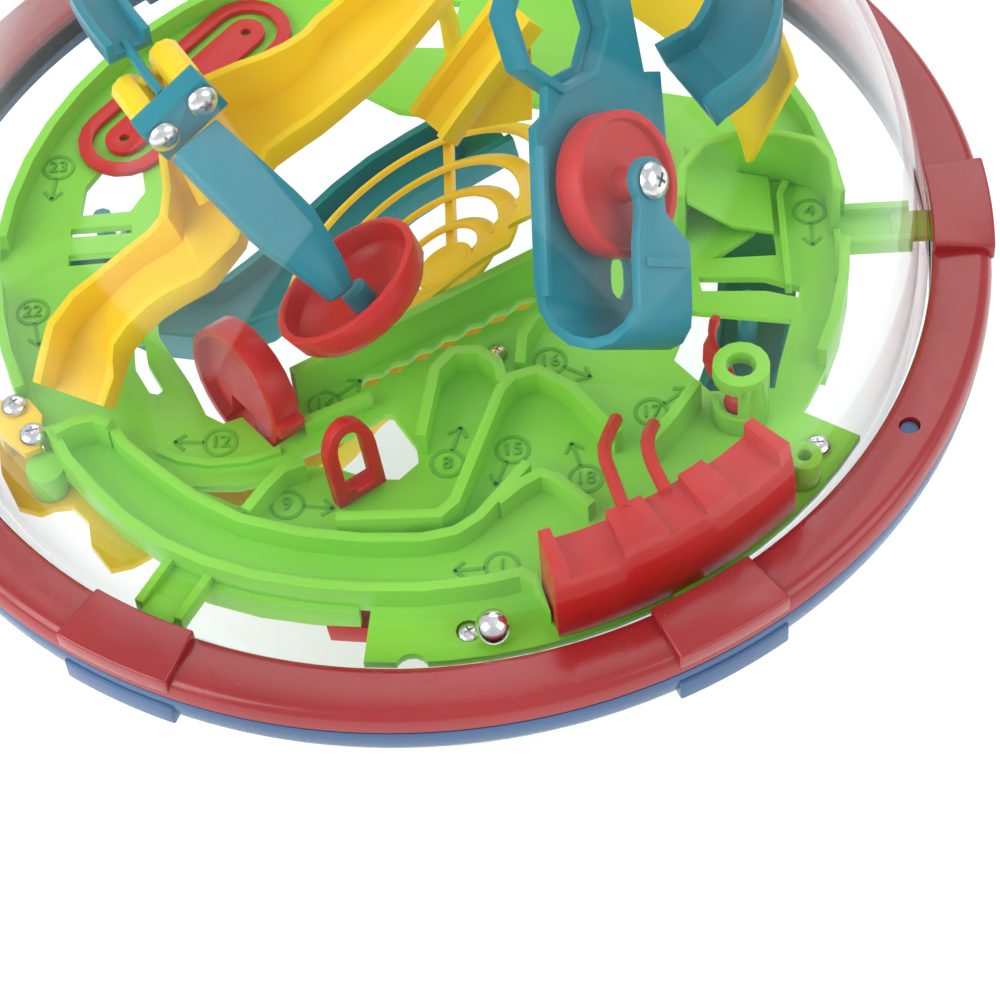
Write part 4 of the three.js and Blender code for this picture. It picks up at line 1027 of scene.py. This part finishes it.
@dataclass
class PlateMarks:
    """The raised step numbers and arrows on the maze plate, in a darker green than the plate that is painted
    shade.
    """

    rise: float = 0.35
    stroke: float = 0.6
    arrow: tuple[tuple[Point3, Point3], ...] = (
        ((2.7, 0, 0), (7.8, 0, 0)), ((6.0, 1.6, 0), (7.9, 0, 0)), ((6.0, -1.6, 0), (7.9, 0, 0)),
    )
    marks: tuple[RaisedMark, ...] = (
        RaisedMark("8", (4.1, -47.0), 72.0), RaisedMark("15", (15.2, -44.8), -113.0),
        RaisedMark("16", (22.1, -26.2), -30.0), RaisedMark("17", (38.8, -38.3), 36.0),
        RaisedMark("1", (12.8, -68.6), -177.0), RaisedMark("14", (-16.7, -33.1), 38.0),
        RaisedMark("12", (-34.4, -40.1), 176.0), RaisedMark("9", (-22.7, -53.9), -9.0),
        RaisedMark("4", (69.0, 4.6), -90.0), RaisedMark("22", (-68.6, -9.0), -78.0),
        RaisedMark("18", (27.2, -51.6), 106.0), RaisedMark("23", (-66.2, 25.0), -96.0),
    )

    def tree(self) -> bpy.types.NodeTree:
        """Build the tree that makes one mark flat on the plate, centred on its ring."""
        tree = new_geometry_tree("ringed_number", {
            "Number": ("NodeSocketString", None), "Rise": ("NodeSocketFloat", 0.0002),
            "Ring Radius": ("NodeSocketFloat", 0.0021), "Heading": ("NodeSocketFloat", 0.0),
        })
        links = tree.links
        source = tree.nodes["Group Input"].outputs
        text = add_node(tree, "GeometryNodeStringToCurves", {"Size": 0.0036, "String": source["Number"]},
                        align_x="CENTER", align_y="MIDDLE")
        strands = [add_node(tree, "GeometryNodeCurvePrimitiveCircle",
                            {"Resolution": 40, "Radius": source["Ring Radius"]})]
        for start, end in self.arrow:
            strands.append(add_node(tree, "GeometryNodeCurvePrimitiveLine", {
                "Start": [c * MM for c in start], "End": [c * MM for c in end],
            }))
        lines = tree.nodes.new("GeometryNodeJoinGeometry")
        for strand in strands:
            links.new(strand.outputs["Curve"], lines.inputs["Geometry"])
        section = add_node(tree, "GeometryNodeCurvePrimitiveQuadrilateral",
                           {"Width": self.stroke * MM, "Height": source["Rise"]})
        strokes = add_node(tree, "GeometryNodeCurveToMesh", {
            "Curve": lines.outputs["Geometry"], "Profile Curve": section.outputs["Curve"], "Fill Caps": True,
        })
        fill = add_node(tree, "GeometryNodeFillCurve", {"Curve": text.outputs["Curve Instances"]})
        raise_up = add_node(tree, "GeometryNodeExtrudeMesh", {
            "Mesh": fill.outputs["Mesh"], "Offset Scale": source["Rise"], "Individual": False,
        })
        back = add_node(tree, "ShaderNodeMath", {0: source["Heading"], 1: -1.0}, operation="MULTIPLY")
        level = add_node(tree, "ShaderNodeCombineXYZ", {"Z": back.outputs[0]})
        upright = add_node(tree, "GeometryNodeTransform",
                           {"Geometry": raise_up.outputs["Mesh"], "Rotation": level.outputs["Vector"]})
        whole = tree.nodes.new("GeometryNodeJoinGeometry")
        links.new(strokes.outputs["Mesh"], whole.inputs["Geometry"])
        links.new(upright.outputs["Geometry"], whole.inputs["Geometry"])
        # The marks take the darker green, which is painted shade.
        end_tree(tree, whole.outputs["Geometry"], MARK_GREEN_PAINTED_SHADE.material())
        return tree

    def build(self) -> None:
        """Build every mark and join them into one piece."""
        tree = self.tree()
        work = bmesh.new()
        for mark in self.marks:
            heading = math.radians(mark.heading)
            mesh = grow(tree, {"Number": mark.number, "Rise": self.rise * MM, "Ring Radius": 2.7 * MM,
                               "Heading": heading})
            place = Matrix.Translation(Vector((*mark.at, 0.02)) * MM) @ Matrix.Rotation(heading, 4, "Z")
            mesh.transform(place)
            work.from_mesh(mesh)
        joined = bpy.data.meshes.new("marks")
        work.to_mesh(joined)
        work.free()
        tidy_mesh(joined, 1e-7)
        # The joined marks keep the darker green of painted shade.
        Piece("step_marks", MARK_GREEN_PAINTED_SHADE, ()).make(joined, 0.0, 32)


# ---------------------------------------------------------------- tracks and gates


@dataclass
class Mouldings:
    """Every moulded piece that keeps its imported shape, with rounded edges."""

    pieces: tuple[RoundedMoulding, ...] = (
        RoundedMoulding("maze_plate", GREEN, 0.7),
        RoundedMoulding("side_tub", GREEN, 0.4),
        RoundedMoulding("hook_post", GREEN, 0.3),
        RoundedMoulding("boss_post", GREEN, 0.3),
        RoundedMoulding("start_block", RED, 0.6),
        RoundedMoulding("drum_gate", RED, 0.3),
        RoundedMoulding("hoop_gate", RED, 0.4),
        RoundedMoulding("paddle", RED, 0.3, 40),
        RoundedMoulding("loop_rail", RED, 0.3),
        RoundedMoulding("hook_plate", TEAL, 0.45),
        RoundedMoulding("beam", TEAL, 0.5),
        RoundedMoulding("beam_clamp", TEAL, 0.5),
        RoundedMoulding("beam_rail", TEAL, 0.3),
        RoundedMoulding("dish_pin", TEAL, 0.15),
        RoundedMoulding("wave_track", YELLOW, 0.4),
        RoundedMoulding("track_bracket", YELLOW, 0.3),
        RoundedMoulding("feed_chute", YELLOW, 0.4),
        RoundedMoulding("outer_sheet", YELLOW, 0.4),
        RoundedMoulding("teal_scoop", TEAL, 0.4),
        RoundedMoulding("under_channel", TEAL, 0.4),
        RoundedMoulding("under_ramp", TEAL, 0.4),
        RoundedMoulding("under_chute", YELLOW, 0.4),
        RoundedMoulding("under_tray", RED, 0.4),
        RoundedMoulding("spin_wheel", RED, 0.3, 32, Body.WHEEL),
        RoundedMoulding("tilt_dish", RED, 0.3, 32, Body.DISH),
    )

    def build(self) -> None:
        """Build every rounded moulding."""
        for piece in self.pieces:
            piece.build()


# ---------------------------------------------------------------- studio


@dataclass
class Studio:
    """The pale floor, the soft lights and the camera."""

    azimuth: float = 3.2
    elevation: float = 53.842
    roll: float = -5.496
    distance: float = 531.2554
    across: float = -13.97777
    above: float = 43.82701
    lens: float = 108.0
    floor_level: float = -89.5
    floor_half: float = 4000.0
    air: float = 0.72
    panels: tuple[tuple[str, Point3, float, float], ...] = (
        ("key", (-0.82, -0.42, 0.66), 0.85, 8.0), ("fill", (0.9, -0.35, 0.75), 0.9, 4.5),
        ("rear", (0.1, 0.9, 0.8), 0.9, 3.5),
    )

    def camera(self) -> None:
        """Place the camera over the front edge, rolled a little."""
        a, e, r = (math.radians(v) for v in (self.azimuth, self.elevation, self.roll))
        back = Vector((math.sin(a) * math.cos(e), -math.cos(a) * math.cos(e), math.sin(e)))
        right = Vector((math.cos(a), math.sin(a), 0))
        up = back.cross(right)
        side = math.cos(r) * right + math.sin(r) * up
        top = -math.sin(r) * right + math.cos(r) * up
        spot = (back * self.distance - side * self.across - top * self.above) * MM
        data = bpy.data.cameras.new("camera")
        data.lens = self.lens
        data.sensor_width = 36.0
        data.clip_start = 0.01
        made = bpy.data.objects.new("camera", data)
        turned = Matrix((side, top, back)).transposed().to_4x4()
        made.matrix_world = Matrix.Translation(spot) @ turned
        bpy.context.scene.collection.objects.link(made)
        bpy.context.scene.camera = made

    def floor(self) -> None:
        """Lay a pale floor under the ball."""
        half, low = self.floor_half * MM, self.floor_level * MM
        corners = [(-half, -half, low), (half, -half, low), (half, half, low), (-half, half, low)]
        mesh = bpy.data.meshes.new("floor")
        mesh.from_pydata(corners, [], [(0, 1, 2, 3)])
        material = blank_material("pale_floor")
        tree = material.node_tree
        flow = place_group(tree, "mould_flow", {"Flow Scale": 3.0})
        shader = add_node(tree, "ShaderNodeBsdfPrincipled", {
            "Base Color": colour_mix(tree, flow.outputs["Flow"], (0.9, 0.9, 0.9), (0.92, 0.92, 0.92)),
            "Roughness": 0.8, "Emission Color": (1.0, 1.0, 1.0, 1.0), "Emission Strength": 0.3,
        })
        tree.links.new(shader.outputs["BSDF"], tree.nodes["Material Output"].inputs["Surface"])
        mesh.materials.append(material)
        show("floor", mesh)

    def lights(self) -> None:
        """Hang three soft panels and light the air evenly."""
        for name, spot, size, power in self.panels:
            data = bpy.data.lights.new(name, "AREA")
            data.size = size
            data.energy = power
            made = bpy.data.objects.new(name, data)
            made.location = spot
            made.rotation_mode = "QUATERNION"
            made.rotation_quaternion = (-Vector(spot)).to_track_quat("-Z", "Y")
            bpy.context.scene.collection.objects.link(made)
        world = bpy.data.worlds.new("studio_air")
        world.use_nodes = True
        sky = world.node_tree.nodes["Background"]
        sky.inputs["Color"].default_value = (1.0, 1.0, 1.0, 1.0)
        sky.inputs["Strength"].default_value = self.air
        bpy.context.scene.world = world

    def build(self) -> None:
        """Build the camera, floor and lights."""
        self.camera()
        self.floor()
        self.lights()
        bpy.context.scene.view_settings.view_transform = "Standard"


def main() -> None:
    """Build every sub-assembly in order."""
    logging.basicConfig(level=logging.INFO, format="%(name)s %(message)s")
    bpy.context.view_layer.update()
    parts = (ClearShell(), Mouldings(), RingFunnel(), PlateMarks(), CrossHeadScrews(), LooseBall(), Studio())
    for part in parts:
        log.info("building %s", type(part).__name__)
        part.build()


if __name__ == "__main__":
    main()
